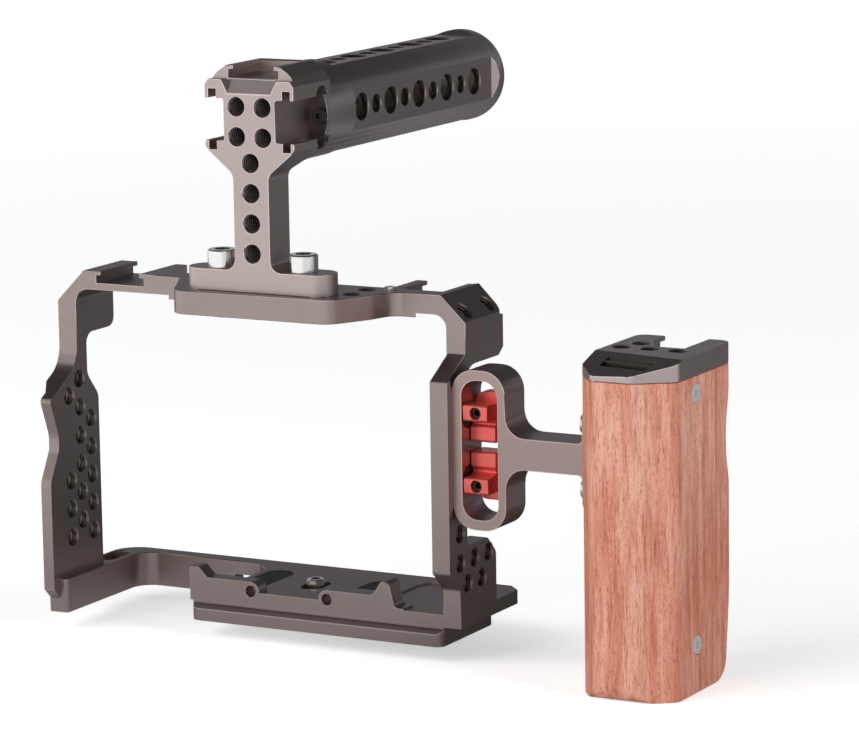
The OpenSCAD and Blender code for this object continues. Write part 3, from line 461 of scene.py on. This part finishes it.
rubber, nodes, shader = new_material("pad_rubber")
tree = rubber.node_tree
place = add_node(tree, "TexCoord").outputs["Object"]
specks = add_node(tree, "TexNoise", None, Vector=place, Scale=1 / (RUBBER_GRAIN * MM), Detail=3.0)
specks = specks.outputs["Fac"]
dust = blend_colours(tree, specks, (0.012, 0.012, 0.013, 1), (0.035, 0.035, 0.037, 1))
tree.links.new(dust, shader.inputs["Base Color"])
tree.links.new(map_range(tree, specks, 0.6, 0.8), shader.inputs["Roughness"])
roughen(tree, shader, specks, 0.2, 0.05)
print("rubber ready")

# %% [markdown]
# ## Oiled wood
# The grip is a block of red hardwood. Its grain runs upwards, so the pattern is stretched along Z:
# broad streaks of colour, thin darker lines, and short open pores that the oil has darkened. All
# of it is a solid pattern through the block, so the curved back cuts it as a real carved block,
# which an image wrapped round the grip wouldn't do.

# %% Wood finish
STREAKS, FIBRES, PORES = (4, 4, 50), (0.7, 0.7, 9), (0.26, 0.26, 1.7)
STREAK_COLOURS = [(0.30, (0.55, 0.18, 0.10)), (0.48, (0.73, 0.31, 0.21)),
                  (0.66, (0.83, 0.45, 0.34))]
FIBRE_SHADES = [(0.30, (0.66, 0.50, 0.44)), (0.52, (1.0, 1.0, 1.0)), (0.8, (1.06, 1.06, 1.06))]
PORE_SHADES = [(0.32, (0.72, 0.44, 0.36)), (0.41, (1.0, 1.0, 1.0))]

wood, nodes, shader = new_material("oiled_hardwood")
tree = wood.node_tree
streaks = solid_noise(tree, STREAKS, 3.0, 0.5, 0.4)
fibres = solid_noise(tree, FIBRES, 4.0, 0.65)
pores = solid_noise(tree, PORES, 1.0, 0.6)
pore_shade = ramp(tree, pores, PORE_SHADES)
colour = blend_colours(tree, 1.0, ramp(tree, streaks, STREAK_COLOURS),
                       ramp(tree, fibres, FIBRE_SHADES), "MULTIPLY")
colour = blend_colours(tree, 1.0, colour, pore_shade, "MULTIPLY")
tree.links.new(colour, shader.inputs["Base Color"])
tree.links.new(map_range(tree, fibres, 0.36, 0.56), shader.inputs["Roughness"])
roughen(tree, shader, calculate(tree, "MULTIPLY", fibres, pore_shade), 0.25, 0.08)
shader.inputs["Coat Weight"].default_value = 0.12
shader.inputs["Coat Roughness"].default_value = 0.35
print("wood ready")

# %% [markdown]
# ## Broken edges
# No milled part has razor edges: a cutter or the blasting breaks each outer edge, while inner
# corners stay sharp. A Bevel modifier limited by angle would round both, and the seams of curves
# too. The model's meshes are exact loose triangles, so a copy is merged, and the triangles that lie
# in one plane are numbered as a patch. Then an edge of a patch can be told from a seam inside it.

# %% Helpers that find flat patches
MERGE = 0.01 * MM
FLAT = 0.002 * MM


def only(obj):
    """Makes obj the one selected and active object."""
    bpy.ops.object.select_all(action="DESELECT")
    obj.select_set(True)
    bpy.context.view_layer.objects.active = obj


def in_order(things):
    """Lists each thing once, in the order of its first coming, so that every run is the same."""
    return list(dict.fromkeys(things))


def number_patches(work):
    """Numbers the flat patches in a face layer and gives back their normals and faces."""
    patch = work.faces.layers.int.new("flat_patch")
    normals, members = [None], [[]]
    for seed in sorted(work.faces, key=lambda face: -face.calc_area()):
        if seed[patch]:
            continue
        normals.append(seed.normal.copy())
        members.append([seed])
        number = seed[patch] = len(normals) - 1
        start = seed.verts[0].co
        for known in members[number]:
            for face in in_order(near for edge in known.edges for near in edge.link_faces):
                if not face[patch] and all(
                    abs((v.co - start).dot(normals[number])) < FLAT for v in face.verts
                ):
                    face[patch] = number
                    members[number].append(face)
    return normals, members


print("a patch is flat to", FLAT / MM, "mm")

# %% [markdown]
# ### Which edges are broken
# An edge is broken where it stands out, where it is sharp, and where the patches beside it are deep
# and large enough to give the bevel room. It gets a bevel weight, which the modifier then reads.

# %% Helper that marks the edges to break
SHARP_ANGLE = math.radians(19)
LEAST_DEPTH, LEAST_AREA = 2.2, 60


def mark_edges(mesh, width):
    """Gives a bevel weight to each outer edge, and gives back the patches' normals."""
    work = bmesh.new()
    work.from_mesh(mesh)
    normals, members = number_patches(work)
    patch = work.faces.layers.int["flat_patch"]
    weight = work.edges.layers.float.new("bevel_weight_edge")
    corners = [{v for face in faces for v in face.verts} for faces in members]
    areas = [sum(face.calc_area() for face in faces) for faces in members]
    marked = 0
    for edge in work.edges:
        if len(edge.link_faces) != 2:
            continue
        pair = [face[patch] for face in edge.link_faces]
        first, second = (normals[number] for number in pair)
        if pair[0] == pair[1] or first.angle(second) < SHARP_ANGLE:
            continue
        start = edge.verts[0].co
        along = (edge.verts[1].co - start).normalized()
        depths = []
        for number in pair:
            away = ((v.co - start) for v in corners[number])
            depths.append(max((step - along * step.dot(along)).length for step in away))
        opposite = [v for v in edge.link_faces[1].verts if v not in edge.verts][0]
        stands_out = (opposite.co - start).dot(first) < 0
        has_room = min(depths) > LEAST_DEPTH * width
        if stands_out and has_room and max(areas[n] for n in pair) > LEAST_AREA * width**2:
            edge[weight] = 1.0
            marked += 1
    work.to_mesh(mesh)
    work.free()
    return normals, marked


print("bevels follow outer edges sharper than", round(math.degrees(SHARP_ANGLE)), "degrees")

# %% [markdown]
# ## Mending flats after a bevel
# Two things can go wrong on meshes of long thin triangles. Where many edges meet in a point, a
# bevel can throw a corner out of the surface, so every stray corner goes back to the nearest place
# on the model. And where a rim moves over a thin triangle, the triangle turns over. A patch with
# turned triangles is emptied and filled again from its rim: the rim is laid out flat, Delaunay's
# rule joins its corners into even triangles, and those inside the rim are kept.

# %% Helper that fills a rim
STRAY = 0.2 * MM
SAME_SPOT = 1e-5


def triangles_within(work, rim, normal):
    """Gives the triangles, as triples of corners, that fill the area inside a rim of edges."""
    corners = in_order(v for edge in rim for v in edge.verts)
    place = {v: i for i, v in enumerate(corners)}
    across = normal.orthogonal().normalized()
    up = normal.cross(across)
    flat = [Vector((v.co.dot(across), v.co.dot(up))) for v in corners]
    links = [tuple(place[v] for v in edge.verts) for edge in rim]
    spots, _, triples, origins, _, _ = geometry.delaunay_2d_cdt(flat, links, [], 0, SAME_SPOT)
    level = corners[0].co.dot(normal)
    inside, area = [], 0.0
    for i, spot in enumerate(spots):
        if origins[i]:
            origins[i] = corners[origins[i][0]]
        else:
            origins[i] = work.verts.new(across * spot.x + up * spot.y + normal * level)
    for triple in triples:
        a, b, c = (spots[i] for i in triple)
        middle = (a + b + c) / 3
        crossed = 0
        for first, second in links:
            p, q = flat[first], flat[second]
            if (p.y > middle.y) != (q.y > middle.y):
                crossed += p.x + (middle.y - p.y) * (q.x - p.x) / (q.y - p.y) > middle.x
        if crossed % 2:
            inside.append([origins[i] for i in triple])
            area += abs((b - a).cross(c - a)) / 2
    return inside, area


print("corners further out than", STRAY / MM, "mm are put back")

# %% Helper that mends the patches
TURNED = 0.5
SAME_AREA = 0.03


def refill_flats(mesh, normals, model):
    """Fills every flat patch again in which the bevel has turned a triangle over."""
    work = bmesh.new()
    work.from_mesh(mesh)
    bmesh.ops.scale(work, vec=(1 / MM,) * 3, verts=work.verts)
    work.normal_update()
    patch = work.faces.layers.int["flat_patch"]
    patches = {}
    for face in work.faces:
        if face.material_index == 0:
            patches.setdefault(face[patch], []).append(face)
    filled = 0
    for number, faces in patches.items():
        normal = normals[number]
        turned = [face for face in faces if face.normal.dot(normal) < TURNED]
        if not turned:
            continue
        inside = set(faces)
        edges = in_order(edge for face in faces for edge in face.edges)
        rim = [edge for edge in edges if sum(face in inside for face in edge.link_faces) == 1]
        triples, area = triangles_within(work, rim, normal)
        before = sum(math.copysign(face.calc_area(), face.normal.dot(normal)) for face in faces)
        if abs(area - before) < SAME_AREA * area:
            bmesh.ops.delete(work, geom=faces, context="FACES_KEEP_BOUNDARY")
            for triple in triples:
                face = work.faces.get(triple) or work.faces.new(triple)
                face.normal_update()
                face[patch] = number
                if face.normal.dot(normal) < 0:
                    face.normal_flip()
            filled += 1
    bmesh.ops.delete(work, geom=[v for v in work.verts if not v.link_faces], context="VERTS")
    bmesh.ops.scale(work, vec=(MM,) * 3, verts=work.verts)
    work.normal_update()
    for face in work.faces:
        if face.normal.dot(model.find_nearest(face.calc_center_median())[1]) < 0:
            face.normal_flip()
    work.to_mesh(mesh)
    work.free()
    return filled


print("a patch is filled again if its area stays within", SAME_AREA)

# %% [markdown]
# ## Tapped holes
# Every accessory hole is tapped, so that a screw can hold in it. The table gives, for each row of
# holes, the node they are in, the thread, the direction out of the hole, the depth and the middles
# of the mouths, in millimetres. A thread is its radius, its pitch and the height of its ridge; in a
# thin tube's wall it is cut finer, so that a few turns fit.

# %% Kinds of thread and where the walls are
QUARTER, QUARTER_THIN = (3.25, 1.27, 0.47), (3.25, 0.9, 0.33)
THREE_EIGHTHS, THREE_EIGHTHS_THIN = (4.80, 1.59, 0.50), (4.80, 0.9, 0.33)
RIGHT, LEFT, UP, DOWN, FRONT = (1, 0, 0), (-1, 0, 0), (0, 0, 1), (0, 0, -1), (0, -1, 0)
SLOPE = (0.7071, 0, 0.7071)
HOLE_STEP = 10
LEFT_WALL_X, RIGHT_WALL_X, DECK_Z, CAP_Z = -86.1, 66.4, 118.3, 105.5
HANDLE_X, HANDLE_Z, HANDLE_FLAT, HANDLE_FRONT_Y = -2.1, 175.7, 14.6, -34
TUBE_WALL, TUBE_STEP = 2.6, 20.4
print("threads of", 2 * QUARTER[0], "and", 2 * THREE_EIGHTHS[0], "mm")

# %% Where the tapped holes are
left_wall = [(LEFT_WALL_X, -5.3, 24.8 + HOLE_STEP * i) for i in range(5)]
left_wall += [(LEFT_WALL_X, -12.05, 29.8 + HOLE_STEP * i) for i in range(5)]
left_wall += [(LEFT_WALL_X, -18.8, z) for z in (24.8, 34.8, 44.8, 74.8)]
right_wall = [(RIGHT_WALL_X, -18.5 + HOLE_STEP * i, 29.5) for i in range(3)]
right_wall += [(RIGHT_WALL_X, -13.5, 21.7), (RIGHT_WALL_X, -3.5, 21.7), (RIGHT_WALL_X, -18.5, 39.5)]
HOLES = [
    ("cage_frame", QUARTER, RIGHT, 4.3, left_wall),
    ("cage_frame", QUARTER, RIGHT, 7.4, [(LEFT_WALL_X, -12.05, 79.8)]),
    ("cage_frame", QUARTER, RIGHT, 6.8, right_wall),
    ("cage_frame", QUARTER, UP, 8.1, [(29.2, y, DECK_Z) for y in (-12.3, -22.8)]),
    ("cage_frame", QUARTER, SLOPE, 7.0, [(63.2, y, 112.7) for y in (-7.3, 9.1)]),
    ("cage_frame", QUARTER, DOWN, 8.1, [(-28, 0, 0), (48, 0, 0)]),
    ("cage_frame", THREE_EIGHTHS, DOWN, 9.8, [(22, 0, 0)]),
    ("handle_upright", QUARTER, FRONT, 13.5,
     [(HANDLE_X, HANDLE_FRONT_Y, z) for z in (131.5, 141.6, 151.7, 161.8)]),
    ("handle_upright", QUARTER, FRONT, 11.0,
     [(HANDLE_X + x, HANDLE_FRONT_Y, z) for x in (-5, 5) for z in (170.4, 180.4)]),
    ("grip_cap", QUARTER, UP, 5.8,
     [(x, -12.3, CAP_Z) for x in (123.2, 133.2, 143.2)] + [(126.3, -4, CAP_Z)]),
]
for side in (RIGHT, UP, LEFT, DOWN):
    x, z = HANDLE_X + HANDLE_FLAT * side[0], HANDLE_Z + HANDLE_FLAT * side[2]
    large = [(x, 16.6 + TUBE_STEP * i, z) for i in range(5)]
    small = [(x, 26.8 + TUBE_STEP * i, z) for i in range(4)]
    HOLES.append(("handle_grip", THREE_EIGHTHS_THIN, side, TUBE_WALL, large))
    HOLES.append(("handle_grip", QUARTER_THIN, side, TUBE_WALL, small))
print(sum(len(row[4]) for row in HOLES), "tapped holes")

# %% [markdown]
# ### Where little light comes
# The bores, the cap's strap slot and the flange behind the handle's head get a third material,
# found by their place, which costs no shape of its own. Its dark colour is painted shade: deep in
# the holes and the slot, and on the flange a painted dark reflection of the head's back. In the
# bores it is partly also the dye, which lies thicker where the blasting doesn't reach. These
# faces get a third material, found by their place, which costs no shape of its own.

# %% Helpers that find deep faces
BORE_STARTS, BORE_ENDS = 0.35, 0.4
ON_BORE = 1.01
SLOT_MIDDLE, SLOT_TURN, SLOT_HALF = Vector((133.6, -30.3, 0)), math.radians(9.5), (9.6, 3.3)
STEEP = 0.7
FLANGE_Y = (-12.0, -10.8)


def in_strap_slot(face):
    """Tells whether a face of the cap is a wall of its turned strap slot or the ramp behind it."""
    step = Matrix.Rotation(SLOT_TURN, 3, "Z") @ (face.center / MM - SLOT_MIDDLE)
    inside = abs(step.x) < SLOT_HALF[0] and abs(step.y) < SLOT_HALF[1]
    return inside and abs(face.normal.z) < STEEP


def on_flange(face):
    """Tells whether a face of the handle's upright is the flange's front, deep behind the head."""
    return face.normal.y < -0.9 and FLANGE_Y[0] < face.center.y / MM < FLANGE_Y[1]


def in_bore(face, mouth, out, radius, depth):
    """Tells whether a face lies inside a hole, below its mouth."""
    step = face.center / MM - mouth
    along = step.dot(out)
    below_mouth = -depth - BORE_ENDS < along < -BORE_STARTS
    return below_mouth and (step - out * along).length < radius * ON_BORE


# The faces found here take the painted shade; on the flange it stands for the head's dark
# reflection.
DEEP_FACES = {"grip_cap": in_strap_slot, "handle_upright": on_flange}
print("a bore starts", BORE_STARTS, "mm below its mouth")


# %% Helper that colours deep faces
def colour_deep_faces(mesh, node):
    """Paints shade, as material 2, on the faces deep inside the node; gives back their number."""
    deep = {face.index for face in mesh.polygons if node in DEEP_FACES and DEEP_FACES[node](face)}
    for owner, (radius, pitch, ridge), out, depth, mouths in HOLES:
        if owner == node:
            for mouth in map(Vector, mouths):
                deep |= {face.index for face in mesh.polygons
                         if in_bore(face, mouth, Vector(out), radius, depth)}
    # Material 2 paints shade on these faces.
    for number in deep:
        mesh.polygons[number].material_index = 2
    return len(deep)


print("ready to colour", {row[0] for row in HOLES})

# %% [markdown]
# ## Shading
# A model made of triangles shows facets on its curves unless each corner knows the direction of the
# true surface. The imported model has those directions, and a Data Transfer modifier copies them.
# Beside a bevel the copied direction can lean, so wide flats take their own direction instead, up
# to their rims, and the bevels blend between them.

# %% Helpers that set the normals
LEANING = math.radians(25)
WIDE = 2 * MM


def wide_flats(mesh, numbers):
    """Finds the wide flat patches, and the normals that they give to the corners on their rims."""
    patches = {}
    for face in mesh.polygons:
        if face.material_index != 1:
            patches.setdefault(numbers[face.index].value, []).append(face)
    wide, rims = set(), {}
    for number, faces in patches.items():
        corners = {v for face in faces for v in face.vertices}
        places = [mesh.vertices[v].co for v in corners]
        low = Vector(min(p[i] for p in places) for i in range(3))
        high = Vector(max(p[i] for p in places) for i in range(3))
        if sum(face.area for face in faces) > WIDE * (high - low).length:
            wide.add(number)
            largest = max(faces, key=lambda face: face.area).normal.copy()
            for v in corners:
                rims.setdefault(v, []).append(largest)
    return wide, rims


def straighten_normals(mesh):
    """Makes wide flats shade flat, up to their rims, and corrects copied normals that lean."""
    normals = [Vector(normal.vector) for normal in mesh.corner_normals]
    numbers = mesh.attributes["flat_patch"].data
    wide, rims = wide_flats(mesh, numbers)
    straightened = 0
    for face in mesh.polygons:
        if face.material_index == 1:
            continue
        own = face.normal.copy()
        is_wide = numbers[face.index].value in wide
        for i in face.loop_indices:
            if is_wide or normals[i].angle(own, math.pi) > LEANING:
                normals[i] = own
                straightened += 1
                continue
            for rim in rims.get(mesh.loops[i].vertex_index, ()):
                if rim.angle(own) < LEANING:
                    normals[i] = rim
    mesh.normals_split_custom_set(normals)
    return straightened


print("normals that lean more than", round(math.degrees(LEANING)), "degrees are corrected")

# %% [markdown]
# ## Dressing a node
# Each node is dressed in the same steps: its mesh is copied and merged, its outer edges are marked
# and bevelled, stray corners and turned triangles are mended, deep faces are coloured, and the
# shading comes from the model. The copy then stands for the node, which stays hidden under it.


# %% Helpers for the steps
def merged_copy(node, materials):
    """Gives a joined-up copy of a node's mesh, with its materials on it."""
    piece = bpy.data.objects.new(node + "_finished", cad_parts[node].data.copy())
    scene.collection.objects.link(piece)
    piece.data.materials.clear()
    for material in (materials[0], materials[-1], painted_shade_finish):
        piece.data.materials.append(material)
    only(piece)
    bpy.ops.object.mode_set(mode="EDIT")
    bpy.ops.mesh.select_all(action="SELECT")
    bpy.ops.mesh.remove_doubles(threshold=MERGE)
    bpy.ops.mesh.customdata_custom_splitnormals_clear()
    bpy.ops.object.mode_set(mode="OBJECT")
    for face in piece.data.polygons:
        face.material_index = 0
    bpy.ops.object.shade_smooth()
    return piece


def break_edges(piece, width):
    """Bevels the marked edges; the bevels get material 1."""
    edge = piece.modifiers.new("broken_edge", "BEVEL")
    edge.width = width
    edge.segments = 2
    edge.limit_method = "WEIGHT"
    edge.use_clamp_overlap = False
    edge.material = 1
    edge.miter_outer = "MITER_SHARP"
    bpy.ops.object.modifier_apply(modifier=edge.name)


def put_back_corners(piece, source, model):
    """Puts corners that left the model's surface back on it, and keeps all inside its box."""
    low = [min(v.co[i] for v in source.data.vertices) for i in range(3)]
    high = [max(v.co[i] for v in source.data.vertices) for i in range(3)]
    stray = 0
    for corner in piece.data.vertices:
        place, normal, face, away = model.find_nearest(corner.co)
        if away > STRAY:
            corner.co = place
            stray += 1
        corner.co = [min(max(low[i], corner.co[i]), high[i]) for i in range(3)]
    return stray


def copy_shading(piece, source):
    """Takes the directions of the true surface from the model."""
    shading = piece.modifiers.new("true_normals", "DATA_TRANSFER")
    shading.object = source
    shading.use_loop_data = True
    shading.data_types_loops = {"CUSTOM_NORMAL"}
    shading.loop_mapping = "POLYINTERP_NEAREST"
    bpy.ops.object.modifier_apply(modifier=shading.name)


print("the steps are ready")


# %% Helper that dresses a node
def dress(node, materials, bevel, slot, body="cage"):
    """Makes the finished piece that stands for a node and rides on a body."""
    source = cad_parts[node]
    piece = merged_copy(node, materials)
    normals, marked = mark_edges(piece.data, bevel * MM)
    break_edges(piece, bevel * MM)
    model = BVHTree.FromObject(source, bpy.context.evaluated_depsgraph_get())
    stray = put_back_corners(piece, source, model)
    filled = refill_flats(piece.data, normals, model)
    if not colour_deep_faces(piece.data, node):
        piece.data.materials.pop()
    copy_shading(piece, source)
    straightened = straighten_normals(piece.data)
    print(f"{node}: {marked} edges broken, {stray} corners put back, {filled} flats filled,",
          f"{straightened} normals straightened")

    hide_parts(node)
    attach(piece, body)
    return piece


print("ready to dress", len(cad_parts), "nodes")

# %% [markdown]
# ## The pieces
# Each row gives a node, its finish, the width of its broken edges in millimetres, its material slot
# in the record, and the body that it moves with. Large milled pieces have wider broken edges than
# small turned ones, and the wood's edges are sanded widest of all.

# %% Dress every piece
FINISHES = [
    ("cage_frame", bronze, 0.28, "bronze_anodised", "cage"),
    ("handle_upright", bronze_painted_lighter, 0.26, "bronze_anodised", "cage"),
    ("handle_grip", dark_bronze, 0.28, "dark_bronze_anodised", "cage"),
    ("side_bracket", warm_bronze, 0.35, "dark_bronze_anodised", "cage"),
    ("grip_cap", dark_bronze, 0.25, "dark_bronze_anodised", "cage"),
    ("cable_clamp_upper", red, 0.22, "red_anodised", "clamp_upper_body"),
    ("cable_clamp_lower", red, 0.22, "red_anodised", "clamp_lower_body"),
    ("grip_wood", (wood,), 0.5, "grip_wood", "cage"),
    ("camera_screw", (steel,), 0.12, "screw_steel", "camera_screw_body"),
    ("deck_stop_screw", (steel,), 0.1, "screw_steel", "cage"),
    ("handle_screw_left", (steel,), 0.15, "screw_steel", "handle_screw_left_body"),
    ("handle_screw_right", (steel,), 0.15, "screw_steel", "handle_screw_right_body"),
    ("grip_side_screws", (satin_steel,), 0.12, "screw_steel", "cage"),
    ("grip_arm_screws", (steel,), 0.12, "screw_steel", "cage"),
    ("handle_joint_screws", (black_steel,), 0.1, "screw_black", "cage"),
    ("side_bracket_screws", (black_steel,), 0.1, "screw_black", "cage"),
    ("grip_cap_screws", (black_steel,), 0.08, "screw_black", "cage"),
    ("camera_screw_clip", (black_steel,), 0.08, "screw_black", "screw_carrier"),
    ("clamp_screw_upper", (black_steel,), 0.1, "screw_black", "clamp_screw_upper_body"),
    ("clamp_screw_lower", (black_steel,), 0.1, "screw_black", "clamp_screw_lower_body"),
    ("base_pads", (rubber,), 0.2, "pad_rubber", "cage"),
    ("grip_core", (core_metal,), 0.3, "core_aluminium", "cage"),
]
pieces = {row[0]: dress(*row) for row in FINISHES}
print(sum(len(p.data.polygons) for p in pieces.values()), "faces on", len(pieces), "pieces")

# %% [markdown]
# ## Threads
# A thread is a ridge with a sharp crest: a small diamond swept down a helix by a Screw modifier,
# with each end drawn to a point. A ring of the same section just inside the mouth is the lead-in
# that a screw finds first. A bump pattern could only suggest the ridges, and here one looks into
# the holes from the side. Each kind of thread is made once and copied into its holes.

# %% Helpers that cut a thread
LEAD_IN = 0.2
SECTION = 4
RING_STEPS, HELIX_STEPS = 32, 24


def join(parts):
    """Joins objects into the first one."""
    bpy.ops.object.select_all(action="DESELECT")
    for part in parts:
        part.select_set(True)
    bpy.context.view_layer.objects.active = parts[0]
    bpy.ops.object.join()


def lead_in_ring(radius, ridge):
    """The ring just inside the mouth of a hole round Z, whose mouth is at height 0."""
    bpy.ops.mesh.primitive_torus_add(major_radius=radius * MM, minor_radius=ridge * MM,
                                     major_segments=RING_STEPS, minor_segments=SECTION,
                                     location=(0, 0, -(LEAD_IN + ridge) * MM))
    return bpy.context.object


def helix(radius, pitch, ridge, depth):
    """The ridge below the ring, as many full turns as the hole has room for."""
    top = LEAD_IN + 2 * ridge
    bpy.ops.mesh.primitive_circle_add(vertices=SECTION, radius=ridge * MM,
                                      rotation=(math.pi / 2, 0, 0),
                                      location=(radius * MM, 0, -(top + ridge) * MM))
    shape = bpy.context.object
    bpy.ops.object.transform_apply(location=True, rotation=True)
    sweep = shape.modifiers.new("helix", "SCREW")
    sweep.steps = sweep.render_steps = HELIX_STEPS
    sweep.iterations = max(1, int((depth - top - ridge) / pitch))
    sweep.screw_offset = -pitch * MM
    bpy.ops.object.modifier_apply(modifier=sweep.name)
    corners = shape.data.vertices
    for end in (corners[:SECTION], corners[-SECTION:]):
        middle = sum((v.co for v in end), Vector()) / SECTION
        for v in end:
            v.co = middle
    return shape


def thread_shape(radius, pitch, ridge, depth):
    """A closed ridge and its lead-in ring in one mesh."""
    ring = lead_in_ring(radius, ridge)
    shape = helix(radius, pitch, ridge, depth)
    join([shape, ring])
    bpy.ops.object.transform_apply(location=True)
    bpy.ops.object.mode_set(mode="EDIT")
    bpy.ops.mesh.select_all(action="SELECT")
    bpy.ops.mesh.remove_doubles(threshold=MERGE)
    bpy.ops.mesh.normals_make_consistent(inside=False)
    bpy.ops.object.mode_set(mode="OBJECT")
    shape.data.materials.clear()
    shape.data.materials.append(thread_finish)
    return shape


print("a helix has", HELIX_STEPS, "steps in a turn")

threads = {}
for node, size, out, depth, mouths in HOLES:
    shape = thread_shape(*size, depth)
    turn = Vector(out).to_track_quat("Z", "Y").to_matrix().to_4x4()
    for mouth in mouths:
        thread = bpy.data.objects.new(node + "_threads", shape.data.copy())
        thread.data.transform(Matrix.Translation(Vector(mouth) * MM) @ turn)
        scene.collection.objects.link(thread)
        threads.setdefault(node, []).append(thread)
    bpy.data.objects.remove(shape)
for node, parts in threads.items():
    join(parts)
    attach(parts[0], "cage")
    print(parts[0].name, len(parts[0].data.polygons), "faces")
